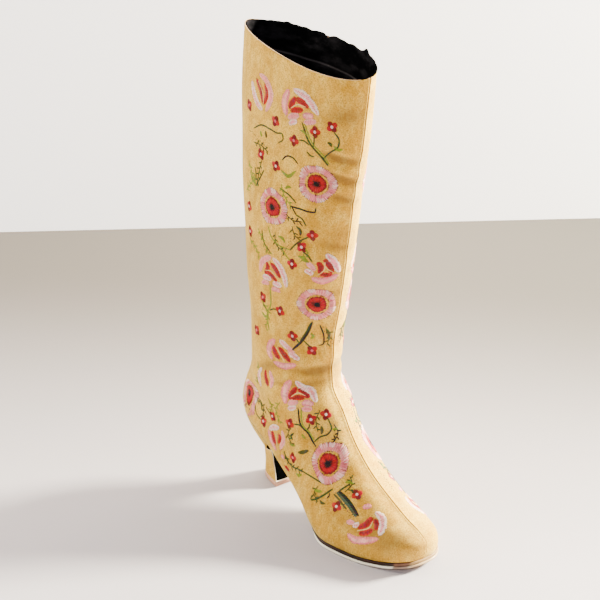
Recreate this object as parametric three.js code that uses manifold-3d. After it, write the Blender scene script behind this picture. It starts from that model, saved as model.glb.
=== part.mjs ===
// A right-foot flamenco dance boot, knee high, on a waisted covered heel, standing empty on its sole.
// Millimetres. +X is the boot's left (its inner side), -Y points to the toe, +Z is up.
// The origin is the centre of the heel's tread, on the floor.
import * as THREE from "three";
import { mergeVertices } from "three/addons/utils/BufferGeometryUtils.js";
import Module from "manifold-3d";

const wasm = await Module();
wasm.setup();

// Sizes of the last and the shaft.
const footLength = 250; // seat back to toe tip, in plan
const ballWidth = 95;
const heelHeight = 70; // floor to the upper's edge at the back of the seat
const seatSetback = 40; // seat back to the origin, in plan
const toeSpring = 5;
const toeSwing = 1; // the toe's lean to the inner side
const heelSwing = 3.5; // the tread's lean to the inner side under the seat
const bendHeight = 131; // floor to the front of the ankle bend
const ankleDepth = 102;
const ankleWidth = 70;
const calfDepth = 157;
const calfWidth = 76;
const shaftHeight = 439; // floor to the middle of the collar
const collarSlope = 7; // the collar's back over its middle
const collarWave = 2.5; // the collar's soft wave

// Sizes of the materials and the pieces.
const wall = 2.2; // suede and lining together
const seamRise = 0.5; // the front seam's band over the suede
const seamHalf = 3.4;
const clearance = 0.3;
const edgeClearance = 0.6; // under the upper's edge, which is straight from one column to the next
const outsoleThickness = 2.4;
const randThickness = 2.8;
const insoleThickness = 2.5;
const outsoleMargin = 1.7; // outsole edge beyond the upper
const randMargin = 1;
const outsoleTuck = 11; // outsole edge inside the upper's edge at the waist
const randTuck = 5;
const insoleMargin = 1.8; // insole edge to the wall
const topPieceThickness = 5.5;
const topPieceLength = 33;
const topPieceWidth = 34;
const neckLength = 27;
const neckWidth = 26;
const breastCoverThickness = 1;
const breastCoverInset = 1.4;
const zipOpening = 9; // width of the slot in the upper
const zipTapeThickness = 0.9;
const zipChainWidth = 5.6;
const zipLength = 318;
const chainProud = 0.5; // the chain's face over the suede
const sliderDrop = 12; // collar to the slider's middle
const sliderWidth = 8;
const sliderLength = 11;
const sliderThickness = 1.8;
const bridgeWidth = 1.8;
const bridgeLeg = 1.4;
const bridgeSlack = 1.2; // room along the zip beside the tab's bar
const bridgeSink = 0.2; // how far the bridge runs into the slider's body
const tabThickness = 1.2;
const tabWidth = 6.5;
const tabLength = 27;
const tabArm = 1.3; // width of each arm beside the tab's hole
const topPieceEdge = 0.5; // the tread's bevel

const featherHeight = outsoleThickness + randThickness + clearance + edgeClearance;

// The upper's edge seen from the side: share of footLength, share of the heel's rise, share of toeSpring.
const SOLE_LINE = [
  { along: 0, rise: 1, spring: 0 },
  { along: 0.12, rise: 0.955, spring: 0 },
  { along: 0.25, rise: 0.83, spring: 0 },
  { along: 0.37, rise: 0.58, spring: 0 },
  { along: 0.48, rise: 0.29, spring: 0 },
  { along: 0.57, rise: 0.08, spring: 0 },
  { along: 0.65, rise: 0, spring: 0 },
  { along: 0.8, rise: 0, spring: 0 },
  { along: 0.9, rise: 0, spring: 0.35 },
  { along: 1, rise: 0, spring: 1 },
];

// The upper's levels, from its lower edge to the collar. frontAlong and backAlong are shares of footLength from
// the seat back. Heights are shares: of the rise from the edge to the bend in the foot, and of the rise from the
// bend to the collar in the shaft. follow says how far a level follows the sole's line. The half widths are
// shares of ballWidth in the foot, and of the shaft's own width at that height above it. fullness is the
// exponent of the level's outline: 2 is an ellipse.
// edge, wall, bulge, shoulder, toe top, vamp, high vamp, instep, high instep
const FOOT_COLUMNS = {
  frontAlong: [0.995, 1.0, 1.0, 0.965, 0.9, 0.806, 0.694, 0.597, 0.528],
  front: [0, 0.055, 0.115, 0.18, 0.24, 0.335, 0.46, 0.625, 0.81],
  backAlong: [0.006, -0.004, -0.01, -0.01, -0.005, 0.003, 0.015, 0.03, 0.045],
  back: [0, 0.08, 0.18, 0.29, 0.4, 0.52, 0.64, 0.76, 0.88],
  follow: [1, 1, 1, 0.95, 0.85, 0.6, 0.35, 0.15, 0.04],
  heel: [0.385, 0.395, 0.4, 0.395, 0.385, 0.375, 0.365, 0.365, 0.375],
  waistIn: [0.3, 0.315, 0.325, 0.33, 0.335, 0.345, 0.355, 0.37, 0.385],
  waistOut: [0.385, 0.395, 0.395, 0.39, 0.38, 0.375, 0.375, 0.38, 0.39],
  ballIn: [0.5, 0.51, 0.5, 0.485, 0.455, 0.43, 0.405, 0.39, 0.385],
  ballOut: [0.525, 0.535, 0.52, 0.49, 0.45, 0.41, 0.385, 0.385, 0.39],
  toe: [0.52, 0.53, 0.51, 0.47, 0.43, 0.39, 0.365, 0.365, 0.375],
  fullness: [2.45, 2.4, 2.35, 2.25, 2.15, 2.08, 2.02, 2, 2],
};
const FOOT_LEVELS = FOOT_COLUMNS.front.map((_, i) =>
  Object.fromEntries(Object.entries(FOOT_COLUMNS).map(([column, values]) => [column, values[i]])),
);
// bend, ankle, low shaft, calf, high calf, collar
const SHAFT_LEVELS = [
  { up: 0, depth: 0.995, backAlong: 0.058, width: 0.99 },
  { up: 0.12, depth: 1.0, backAlong: 0.049, width: 1.015 },
  { up: 0.3, depth: 1.13, backAlong: 0.014, width: 1.08 },
  { up: 0.55, depth: 1.27, backAlong: -0.025, width: 1.1 },
  { up: 0.8, depth: 1.38, backAlong: -0.043, width: 1.08 },
  { up: 1, depth: 1.435, backAlong: -0.045, width: 1.01 },
];
const shaftDepthAt = (level) => THREE.MathUtils.mapLinear(level.depth, 1, 1.41, ankleDepth, calfDepth);
const shaftWidthAt = (level) => THREE.MathUtils.mapLinear(level.width, 1, 1.1, ankleWidth, calfWidth);

// A smooth curve through the rows of a table: column as a function of the key, level at the row ends.
function through(rows, key, column) {
  const xs = rows.map((row) => row[key]);
  const ys = rows.map((row) => row[column]);
  const secants = xs.slice(1).map((x, i) => (ys[i + 1] - ys[i]) / (x - xs[i]));
  const slopes = xs.map((_, i) => {
    if (i === 0) return secants[0];
    if (i === xs.length - 1) return secants[i - 1];
    const [before, after] = [secants[i - 1], secants[i]];
    if (before * after <= 0) return 0;
    const [w1, w2] = [2 * (xs[i + 1] - xs[i]) + xs[i] - xs[i - 1], xs[i + 1] - xs[i] + 2 * (xs[i] - xs[i - 1])];
    return (w1 + w2) / (w1 / before + w2 / after);
  });
  return (x) => {
    const clamped = THREE.MathUtils.clamp(x, xs[0], xs[xs.length - 1]);
    let i = xs.findIndex((edge) => edge > clamped) - 1;
    if (i < 0) i = xs.length - 2;
    const span = xs[i + 1] - xs[i];
    const s = (clamped - xs[i]) / span;
    return (
      ys[i] * (1 + 2 * s) * (1 - s) ** 2 +
      ys[i + 1] * s * s * (3 - 2 * s) +
      slopes[i] * span * s * (1 - s) ** 2 +
      slopes[i + 1] * span * s * s * (s - 1)
    );
  };
}

// Height of the upper's lower edge at a distance forward of the origin.
const riseAlong = through(SOLE_LINE, "along", "rise");
const springAlong = through(SOLE_LINE, "along", "spring");
function edgeHeight(forward) {
  const along = (forward + seatSetback) / footLength;
  return featherHeight + riseAlong(along) * (heelHeight - featherHeight) + springAlong(along) * toeSpring;
}

// The levels in millimetres, one row each. distance runs along the front from the toe to the collar.
const forwardOf = (along) => along * footLength - seatSetback;
function levelRows() {
  const foot = FOOT_LEVELS.map((level) => ({
    frontForward: forwardOf(level.frontAlong),
    frontHeight: THREE.MathUtils.lerp(edgeHeight(forwardOf(level.frontAlong)), bendHeight, level.front),
    backForward: forwardOf(level.backAlong),
    backHeight: THREE.MathUtils.lerp(edgeHeight(forwardOf(level.backAlong)), bendHeight, level.back),
    follow: level.follow,
    heel: level.heel * ballWidth,
    waistIn: level.waistIn * ballWidth,
    waistOut: level.waistOut * ballWidth,
    ballIn: level.ballIn * ballWidth,
    ballOut: level.ballOut * ballWidth,
    toe: level.toe * ballWidth,
    fullness: level.fullness,
    wave: 0,
  }));
  const shaft = SHAFT_LEVELS.map((level) => {
    const half = shaftWidthAt(level) / 2;
    const height = bendHeight + level.up * (shaftHeight - bendHeight);
    return {
      frontForward: forwardOf(level.backAlong) + shaftDepthAt(level),
      frontHeight: height - level.up * collarSlope,
      backForward: forwardOf(level.backAlong),
      backHeight: height + level.up * collarSlope,
      follow: 0,
      heel: half,
      waistIn: half,
      waistOut: half,
      ballIn: half,
      ballOut: half,
      toe: half,
      fullness: 2,
      wave: level.up ** 4 * collarWave,
    };
  });
  const rows = [...foot, ...shaft];
  rows.forEach((row, i) => {
    const before = rows[i - 1];
    row.distance = before
      ? before.distance + Math.hypot(row.frontForward - before.frontForward, row.frontHeight - before.frontHeight)
      : 0;
  });
  return rows;
}
const LEVELS = levelRows();
const collarDistance = LEVELS[LEVELS.length - 1].distance;
const columnCurves = Object.keys(LEVELS[0])
  .filter((column) => column !== "distance")
  .map((column) => [column, through(LEVELS, "distance", column)]);
const levelAt = (distance) => Object.fromEntries(columnCurves.map(([column, curve]) => [column, curve(distance)]));

// Half width of a level at a share t of the way from its back to its front, on the inner or outer side.
const STATIONS = { heel: 0.1, waist: 0.42, ball: 0.7, toe: 0.92 };
function halfWidth(level, t, inner) {
  const rows = [
    { t: STATIONS.heel, half: level.heel },
    { t: STATIONS.waist, half: inner ? level.waistIn : level.waistOut },
    { t: STATIONS.ball, half: inner ? level.ballIn : level.ballOut },
    { t: STATIONS.toe, half: level.toe },
  ];
  return through(rows, "t", "half")(t);
}

// How far a level's middle line leans to the inner side: nothing at the heel, all of toeSwing at the toe tip.
function swingAt(level, t) {
  const along = (THREE.MathUtils.lerp(level.backForward, level.frontForward, t) + seatSetback) / footLength;
  return toeSwing * THREE.MathUtils.smoothstep(along, 0.35, 1.1) - heelSwing;
}

// A point of a level. angle is 0 at the back, pi at the front, and runs round the outer side first.
function levelPoint(level, angle, margin = 0) {
  const t = (1 - Math.cos(angle)) / 2;
  const inner = Math.sin(angle) < 0;
  const round = (1 - Math.abs(Math.cos(angle)) ** level.fullness) ** (1 / level.fullness);
  const across = (halfWidth(level, t, inner) + margin) * round * (inner ? 1 : -1) + swingAt(level, t);
  const forward = THREE.MathUtils.lerp(level.backForward - margin, level.frontForward + margin, t);
  const flat = THREE.MathUtils.lerp(level.backHeight, level.frontHeight, t);
  const followed =
    edgeHeight(forward) +
    THREE.MathUtils.lerp(
      level.backHeight - edgeHeight(level.backForward),
      level.frontHeight - edgeHeight(level.frontForward),
      t,
    );
  const height = THREE.MathUtils.lerp(flat, followed, level.follow) + level.wave * Math.sin(2 * angle);
  return new THREE.Vector3(across, -forward, height);
}

// Angles round a level whose points lie at set distances from the front seam, and then evenly to the back.
const SEAM_COLUMNS = [0, 0.35, 1, 1.3]; // shares of seamHalf
const SEAM_HEIGHTS = [0.25, 1, 1, 0]; // shares of seamRise
const sideColumns = 17;
function columnAngles(level) {
  const fine = 240;
  const measure = (side) => {
    const angles = [];
    const lengths = [0];
    let last;
    for (let i = 0; i <= fine; i += 1) {
      const angle = Math.PI + (side * Math.PI * i) / fine;
      const p = levelPoint(level, angle);
      if (last) lengths.push(lengths[i - 1] + p.distanceTo(last));
      angles.push(angle);
      last = p;
    }
    const angleAt = (length) => {
      let i = lengths.findIndex((l) => l >= length);
      if (i <= 0) i = 1;
      const share = (length - lengths[i - 1]) / (lengths[i] - lengths[i - 1]);
      return THREE.MathUtils.lerp(angles[i - 1], angles[i], share);
    };
    const edge = SEAM_COLUMNS[SEAM_COLUMNS.length - 1] * seamHalf;
    const total = lengths[fine];
    const out = SEAM_COLUMNS.map((share) => angleAt(share * seamHalf));
    for (let i = 1; i <= sideColumns; i += 1) out.push(angleAt(edge + ((total - edge) * i) / sideColumns - 1e-6));
    return out;
  };
  const outer = measure(-1);
  const inner = measure(1);
  // From the back round the outer side to the seam, and on round the inner side.
  return [...outer.reverse(), ...inner.slice(1, -1)];
}
const columnCount = 2 * (SEAM_COLUMNS.length + sideColumns) - 2;
const seamColumn = SEAM_COLUMNS.length + sideColumns - 1;
const seamHeightOf = (column) => (SEAM_HEIGHTS[Math.abs(column - seamColumn)] ?? 0) * seamRise;

function surfaceNormal(distance, angle) {
  const step = 0.4;
  const turn = 0.01;
  const low = levelPoint(levelAt(Math.max(distance - step, 0)), angle);
  const high = levelPoint(levelAt(Math.min(distance + step, collarDistance)), angle);
  const level = levelAt(distance);
  const before = levelPoint(level, angle - turn);
  const after = levelPoint(level, angle + turn);
  return new THREE.Vector3().crossVectors(after.sub(before), high.sub(low)).normalize();
}

// A point of the upper's surface, depth below it.
function surfacePoint(distance, angle, depth) {
  const point = levelPoint(levelAt(distance), angle);
  return point.addScaledVector(surfaceNormal(distance, angle), -depth);
}

// A closed mesh from rings of points: sides between neighbouring rings, and a cap at each end.
function loft(rings) {
  const count = rings[0].length;
  const positions = rings.flat().flatMap((p) => [p.x, p.y, p.z]);
  const index = [];
  for (let r = 0; r < rings.length - 1; r += 1) {
    for (let i = 0; i < count; i += 1) {
      const [a, b] = [r * count + i, r * count + ((i + 1) % count)];
      index.push(a, b, b + count, a, b + count, a + count);
    }
  }
  for (const [ring, start] of [[rings[0], 0], [rings[rings.length - 1], (rings.length - 1) * count]]) {
    const middle = ring.reduce((sum, p) => sum.add(p), new THREE.Vector3()).divideScalar(count);
    const at = positions.length / 3;
    positions.push(middle.x, middle.y, middle.z);
    for (let i = 0; i < count; i += 1) {
      const [a, b] = [start + i, start + ((i + 1) % count)];
      if (start === 0) index.push(b, a, at);
      else index.push(a, b, at);
    }
  }
  return facingOut(positions, index);
}

// A geometry whose faces point outwards.
function facingOut(positions, index) {
  let volume = 0;
  const at = (i) => new THREE.Vector3().fromArray(positions, 3 * i);
  for (let i = 0; i < index.length; i += 3) {
    volume += at(index[i]).dot(at(index[i + 1]).cross(at(index[i + 2])));
  }
  if (volume < 0) for (let i = 0; i < index.length; i += 3) [index[i], index[i + 1]] = [index[i + 1], index[i]];
  const geometry = new THREE.BufferGeometry();
  geometry.setAttribute("position", new THREE.Float32BufferAttribute(positions, 3));
  geometry.setIndex(index);
  return geometry;
}

// Cutting with manifold-3d.
function solid(geometry) {
  const bare = new THREE.BufferGeometry().setAttribute("position", geometry.getAttribute("position"));
  bare.setIndex(geometry.getIndex());
  const merged = mergeVertices(bare, 1e-4);
  return new wasm.Manifold(
    new wasm.Mesh({
      numProp: 3,
      vertProperties: merged.attributes.position.array,
      triVerts: new Uint32Array(merged.index.array),
    }),
  );
}
function geometryOf(manifold) {
  const mesh = manifold.getMesh();
  const geometry = new THREE.BufferGeometry();
  geometry.setAttribute("position", new THREE.Float32BufferAttribute(mesh.vertProperties, 3));
  geometry.setIndex(Array.from(mesh.triVerts));
  return geometry;
}

// The upper: foot and shaft in one wall, open below and at the collar.
const levelSteps = [2, 2, 2, 3, 3, 3, 3, 3, 4, 3, 3, 3, 4, 3];
function levelDistances() {
  const distances = [0];
  levelSteps.forEach((steps, i) => {
    for (let s = 1; s <= steps; s += 1) {
      distances.push(THREE.MathUtils.lerp(LEVELS[i].distance, LEVELS[i + 1].distance, s / steps));
    }
  });
  return distances;
}
function upperGeometry() {
  const distances = levelDistances();
  const outer = [];
  const inner = [];
  distances.forEach((distance, r) => {
    const level = levelAt(distance);
    columnAngles(level).forEach((angle, c) => {
      const point = levelPoint(level, angle);
      const normal = surfaceNormal(distance, angle);
      if (r === 0 || r === distances.length - 1) normal.setZ(0).normalize();
      outer.push(point.clone().addScaledVector(normal, seamHeightOf(c)));
      const inside = point.clone().addScaledVector(normal, -wall);
      if (r === 0) inside.z = edgeHeight(-inside.y);
      inner.push(inside);
    });
  });
  const rows = distances.length;
  const positions = [...outer, ...inner].flatMap((p) => [p.x, p.y, p.z]);
  const shift = outer.length;
  const index = [];
  const quad = (a, b, c, d) => index.push(a, b, c, a, c, d);
  for (let c = 0; c < columnCount; c += 1) {
    const next = (c + 1) % columnCount;
    for (let r = 0; r < rows - 1; r += 1) {
      const [low, high] = [r * columnCount, (r + 1) * columnCount];
      quad(low + c, low + next, high + next, high + c);
      quad(shift + low + next, shift + low + c, shift + high + c, shift + high + next);
    }
    const top = (rows - 1) * columnCount;
    quad(shift + c, shift + next, next, c);
    quad(top + c, top + next, shift + top + next, shift + top + c);
  }
  return facingOut(positions, index);
}

// The zip on the inner side of the shaft: where its middle runs, from the collar down.
const ZIP_LINE = [
  { down: 0, turn: 0.32 },
  { down: 0.5, turn: 0.38 },
  { down: 1, turn: 0.47 },
];
const zipTurn = through(ZIP_LINE, "down", "turn"); // share of pi past the front seam
const zipAngle = (down) => Math.PI * (1 + zipTurn(THREE.MathUtils.clamp(down / zipLength, 0, 1)));
const zipSteps = 26;
// The same stations for the slot and for all that lies in it, with the ends where each piece has them.
function zipStations(from, to) {
  const stations = [from];
  for (let i = 0; i <= zipSteps; i += 1) {
    const down = (zipLength * i) / zipSteps;
    if (down > from && down < to) stations.push(down);
  }
  return [...stations, to];
}
function zipStrip(half, outside, inside, from, to) {
  const rings = [];
  for (const down of zipStations(from, to)) {
    const distance = collarDistance - down;
    const angle = zipAngle(down);
    const here = Math.min(distance, collarDistance);
    const a = levelPoint(levelAt(here), angle - 0.01);
    const b = levelPoint(levelAt(here), angle + 0.01);
    const perTurn = a.distanceTo(b) / 0.02;
    const over = Math.max(distance - collarDistance, 0);
    rings.push(
      [[-half, outside], [half, outside], [half, inside], [-half, inside]].map(([across, depth]) => {
        const point = surfacePoint(here, angle + across / perTurn, depth);
        point.z += over;
        return point;
      }),
    );
  }
  return loft(rings);
}

// The outline of the upper's lower edge, made larger by margin, at a share t of the way to the toe.
const edgeLevel = levelAt(0);
function edgePoint(t, inner, margin) {
  const angle = Math.acos(1 - 2 * t) * (inner ? -1 : 1) + (inner ? 2 * Math.PI : 0);
  const point = levelPoint(edgeLevel, angle, margin);
  return { across: point.x, forward: -point.y };
}

// A layer under or in the foot: cross sections from one share of the length to another.
function layer({ from, to, margin, top, bottom, steps, bevel = 0.4 }) {
  const rings = [];
  for (let i = 0; i <= steps; i += 1) {
    const turn = THREE.MathUtils.lerp(Math.acos(1 - 2 * from), Math.acos(1 - 2 * to), i / steps);
    const t = (1 - Math.cos(turn)) / 2;
    const left = edgePoint(t, true, margin(t));
    const right = edgePoint(t, false, margin(t));
    const forward = left.forward;
    const [high, low] = [top(forward), bottom(forward)];
    const edge = Math.min(bevel, (left.across - right.across) / 4);
    const xs = [left.across, left.across - edge];
    for (let k = 1; k <= 3; k += 1) xs.push(THREE.MathUtils.lerp(left.across, right.across, k / 4));
    xs.push(right.across + edge, right.across);
    const isEnd = (k) => k === 0 || k === xs.length - 1;
    const upper = xs.map((x, k) => new THREE.Vector3(x, -forward, isEnd(k) ? high - edge : high));
    const lower = xs.map((x, k) => new THREE.Vector3(x, -forward, isEnd(k) ? low + edge : low));
    rings.push([...upper, ...lower.reverse()]);
  }
  return loft(rings);
}

const tip = 0.0004; // share of the length left off at a round end
const breastAlong = 0.262; // where the heel's breast meets the sole
const edgeSpan = edgeLevel.frontForward - edgeLevel.backForward;
const breastShare = (forwardOf(breastAlong) - edgeLevel.backForward) / edgeSpan;

// How far a layer stands beyond the upper's edge, by the share of the length: tucked in at the waist.
function waistMargin(tuck, margin) {
  const rows = [
    { t: 0, stands: -tuck * 0.5 },
    { t: breastShare + 0.03, stands: -tuck },
    { t: 0.44, stands: -tuck },
    { t: 0.54, stands: -tuck * 0.55 },
    { t: 0.61, stands: 0 },
    { t: 0.67, stands: margin },
    { t: 1, stands: margin },
  ];
  return through(rows, "t", "stands");
}

function outsoleGeometry() {
  const waist = waistMargin(outsoleTuck, outsoleMargin);
  const under = (forward) => edgeHeight(forward) - edgeClearance - randThickness - clearance;
  return layer({
    from: breastShare,
    to: 1 - tip,
    margin: waist,
    top: under,
    bottom: (forward) => under(forward) - outsoleThickness,
    steps: 30,
  });
}
function randGeometry() {
  const waist = waistMargin(randTuck, randMargin);
  const under = (forward) => edgeHeight(forward) - edgeClearance;
  return layer({
    from: breastShare,
    to: 1 - tip,
    margin: waist,
    top: under,
    bottom: (forward) => under(forward) - randThickness,
    steps: 30,
  });
}
function insoleGeometry() {
  return layer({
    from: tip,
    to: 1 - tip,
    margin: () => -wall - insoleMargin,
    top: (forward) => edgeHeight(forward) + insoleThickness,
    bottom: edgeHeight,
    steps: 30,
  });
}

// The heel from the seat down to the top piece. share runs from the seat to the bottom; back and breast are
// places forward of the origin, and half is the half width.
const heelBottom = topPieceThickness + clearance;
const seatHalf = (edgePoint(breastShare, true, 0).across - edgePoint(breastShare, false, 0).across) / 2;
const seatMiddle = (edgePoint(breastShare, true, 0).across + edgePoint(breastShare, false, 0).across) / 2;
const seatBreast = forwardOf(breastAlong) - clearance;
const HEEL_SECTIONS = [
  { share: 0, back: edgeLevel.backForward, breast: seatBreast, half: seatHalf },
  { share: 0.1, back: -seatSetback * 0.85, breast: seatBreast * 0.84, half: seatHalf * 0.95 },
  { share: 0.24, back: -seatSetback * 0.69, breast: neckLength * 0.53, half: seatHalf * 0.76 },
  { share: 0.42, back: -neckLength * 0.8, breast: neckLength * 0.34, half: neckWidth * 0.56 },
  { share: 0.62, back: -neckLength * 0.64, breast: neckLength * 0.31, half: neckWidth * 0.5 },
  { share: 0.8, back: -neckLength * 0.61, breast: neckLength * 0.385, half: neckWidth * 0.52 },
  { share: 1, back: -topPieceLength * 0.5, breast: topPieceLength * 0.48, half: topPieceWidth * 0.5 },
];
const heelBack = through(HEEL_SECTIONS, "share", "back");
const heelBreast = through(HEEL_SECTIONS, "share", "breast");
const heelHalf = through(HEEL_SECTIONS, "share", "half");
const heelSteps = 16;
const heelArc = 22;

// The seat's outline from the inner breast corner round the back to the outer one, as shares.
function seatOutline() {
  const last = Math.acos(1 - 2 * breastShare);
  const points = [];
  for (let i = 0; i <= heelArc; i += 1) {
    const turn = last * (1 - (2 * i) / heelArc);
    const t = (1 - Math.cos(turn)) / 2;
    const at = edgePoint(t, turn > 0, 0);
    points.push({
      aft: (at.forward - edgeLevel.backForward) / (forwardOf(breastAlong) - edgeLevel.backForward),
      across: (at.across - seatMiddle) / seatHalf,
    });
  }
  return points;
}
const SEAT_OUTLINE = seatOutline();
function heelRing(share, margin = 0) {
  const back = heelBack(share) - margin;
  const breast = heelBreast(share) + margin;
  const half = heelHalf(share) + margin;
  const middle = seatMiddle * (1 - share);
  return SEAT_OUTLINE.map((p) => {
    const forward = THREE.MathUtils.lerp(back, breast, p.aft);
    const seat = edgeHeight(THREE.MathUtils.lerp(heelBack(0), heelBreast(0), p.aft)) - edgeClearance;
    return new THREE.Vector3(middle + p.across * half, -forward, THREE.MathUtils.lerp(seat, heelBottom, share));
  });
}
function heelGeometry() {
  const rings = [];
  for (let i = 0; i <= heelSteps; i += 1) rings.push(heelRing(i / heelSteps));
  return loft(rings);
}
function breastCoverGeometry() {
  const rings = [];
  const last = 0.98; // the cover stops above the top piece
  for (let i = 0; i <= heelSteps; i += 1) {
    const share = THREE.MathUtils.lerp(0.06, last, i / heelSteps);
    const ring = heelRing(share);
    const [left, right] = [ring[0], ring[ring.length - 1]];
    const inset = Math.min(breastCoverInset, (left.x - right.x) / 4);
    const back = -left.y + clearance;
    const front = back + breastCoverThickness;
    rings.push([
      new THREE.Vector3(left.x - inset, -back, left.z),
      new THREE.Vector3(left.x - inset, -front, left.z),
      new THREE.Vector3(right.x + inset, -front, right.z),
      new THREE.Vector3(right.x + inset, -back, right.z),
    ]);
  }
  return loft(rings);
}
function topPieceGeometry() {
  const ring = (height, margin) => heelRing(1, margin).map((p) => p.setZ(height));
  return loft([ring(0, -topPieceEdge), ring(topPieceEdge, 0), ring(topPieceThickness, 0)]);
}

// The zip's slider and its pull tab, in a frame of their own: X runs across the zip, Y up along it and Z out.
// The slider is closed, near the collar. Its bridge holds the tab's cross bar, which is the hinge.
const sliderBase = chainProud + clearance; // the slider's back face over the suede
const barHeight = sliderBase + sliderThickness + clearance + tabThickness / 2; // the hinge's axis over the suede
const bridgeInside = barHeight + tabThickness / 2 + clearance;
const bridgeHalf = tabThickness / 2 + clearance + bridgeSlack + bridgeLeg;
const bridgeOutside = bridgeInside + bridgeLeg * 0.7;
const slotEnd = Math.hypot(bridgeHalf, bridgeOutside - barHeight) + clearance; // clears the bridge as it turns

function plate(points, thickness, holes = []) {
  const shape = new THREE.Shape(points.map(([x, y]) => new THREE.Vector2(x, y)));
  holes.forEach((hole) => shape.holes.push(new THREE.Path(hole.map(([x, y]) => new THREE.Vector2(x, y)))));
  return new THREE.ExtrudeGeometry(shape, { depth: thickness, bevelEnabled: false });
}
function sliderGeometry() {
  const [w, l] = [sliderWidth / 2, sliderLength / 2];
  const outline = [[-w * 0.62, -l], [w * 0.62, -l], [w, l * 0.25], [w * 0.86, l], [-w * 0.86, l], [-w, l * 0.25]];
  const body = plate(outline, sliderThickness).translate(0, 0, sliderBase);
  const foot = sliderBase + sliderThickness - bridgeSink;
  const eye = bridgeHalf - bridgeLeg;
  const side = [
    [-bridgeHalf, foot], [-eye, foot], [-eye, bridgeInside], [eye, bridgeInside], [eye, foot],
    [bridgeHalf, foot], [bridgeHalf, bridgeInside], [eye, bridgeOutside], [-eye, bridgeOutside],
    [-bridgeHalf, bridgeInside],
  ];
  const bridge = plate(side, bridgeWidth).translate(0, 0, -bridgeWidth / 2).rotateX(Math.PI / 2).rotateZ(Math.PI / 2);
  return geometryOf(solid(body).add(solid(bridge)));
}
function pullTabGeometry() {
  const bar = tabThickness / 2;
  const inside = bridgeWidth / 2 + clearance;
  const outside = inside + tabArm;
  const wide = tabWidth / 2;
  const neck = slotEnd + 0.7;
  const shoulder = slotEnd + 3;
  const outline = [
    [-outside, bar], [-outside, -neck], [-wide, -shoulder], [-wide, -tabLength + 2], [-wide * 0.6, -tabLength],
    [wide * 0.6, -tabLength], [wide, -tabLength + 2], [wide, -shoulder], [outside, -neck], [outside, bar],
  ];
  const hole = [[-inside, -bar], [inside, -bar], [inside, -slotEnd], [-inside, -slotEnd]];
  const sides = 10;
  const round = new THREE.CylinderGeometry(bar, bar, 2 * outside, sides).rotateZ(Math.PI / 2);
  const flat = plate(outline, tabThickness, [hole]).translate(0, 0, -bar);
  const corners = [[-outside, 0], [outside, 0], [outside, 2 * bar], [-outside, 2 * bar]];
  const square = plate(corners, 4 * bar).translate(0, 0, -2 * bar);
  return geometryOf(solid(flat).subtract(solid(square)).add(solid(round)));
}

// The boot.
const suede = new THREE.MeshStandardMaterial({ color: "#d8ae63", roughness: 0.95, metalness: 0 });
const lining = new THREE.MeshStandardMaterial({ color: "#0c0c0e", roughness: 0.7, metalness: 0 });
const brownEdge = new THREE.MeshStandardMaterial({ color: "#3b2218", roughness: 0.6, metalness: 0 });
const soleLeather = new THREE.MeshStandardMaterial({ color: "#ece2cd", roughness: 0.5, metalness: 0 });
const blackLeather = new THREE.MeshStandardMaterial({ color: "#0b0b0d", roughness: 0.35, metalness: 0 });
const treadLeather = new THREE.MeshStandardMaterial({ color: "#c89a7d", roughness: 0.55, metalness: 0 });
const metal = new THREE.MeshStandardMaterial({ color: "#1b1b1d", roughness: 0.3, metalness: 0.8 });
const zipBlack = new THREE.MeshStandardMaterial({ color: "#141416", roughness: 0.6, metalness: 0 });

const boot = new THREE.Group();
function add(name, geometry, material, parent = boot) {
  const mesh = new THREE.Mesh(geometry, material);
  mesh.name = name;
  parent.add(mesh);
  return mesh;
}

const slotReach = 4; // the slot's cutter stands this far outside the wall
const slot = solid(zipStrip(zipOpening / 2, -slotReach, wall + slotReach, -slotReach, zipLength));
add("upper", geometryOf(solid(upperGeometry()).subtract(slot)), suede);
const tapeHalf = zipOpening / 2 - clearance;
add("zip_tape", zipStrip(tapeHalf, wall - zipTapeThickness, wall, 0, zipLength - clearance), zipBlack);
const chainInside = wall - zipTapeThickness - clearance;
add("zip_chain", zipStrip(zipChainWidth / 2, -chainProud, chainInside, 2, zipLength - 2), zipBlack);
add("insole", insoleGeometry(), lining);
add("rand", randGeometry(), brownEdge);
add("outsole", outsoleGeometry(), soleLeather);
add("heel", heelGeometry(), suede);
add("breast_cover", breastCoverGeometry(), blackLeather);
add("top_piece", topPieceGeometry(), treadLeather);

const slider = new THREE.Group();
const sliderDistance = collarDistance - sliderDrop;
const sliderAngle = zipAngle(sliderDrop);
const outwards = surfaceNormal(sliderDistance, sliderAngle);
const upwards = surfacePoint(collarDistance - sliderDrop / 2, zipAngle(sliderDrop / 2), 0)
  .sub(surfacePoint(sliderDistance, sliderAngle, 0))
  .projectOnPlane(outwards)
  .normalize();
slider.position.copy(surfacePoint(sliderDistance, sliderAngle, 0));
slider.quaternion.setFromRotationMatrix(
  new THREE.Matrix4().makeBasis(new THREE.Vector3().crossVectors(upwards, outwards), upwards, outwards),
);
boot.add(slider);
add("zip_slider", sliderGeometry(), metal, slider);
add("pull_tab", pullTabGeometry(), metal, slider).position.z = barHeight;

export default boot;
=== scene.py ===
import math

import bpy
import numpy as np
from mathutils import Matrix, Vector
from mathutils.bvhtree import BVHTree


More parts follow.
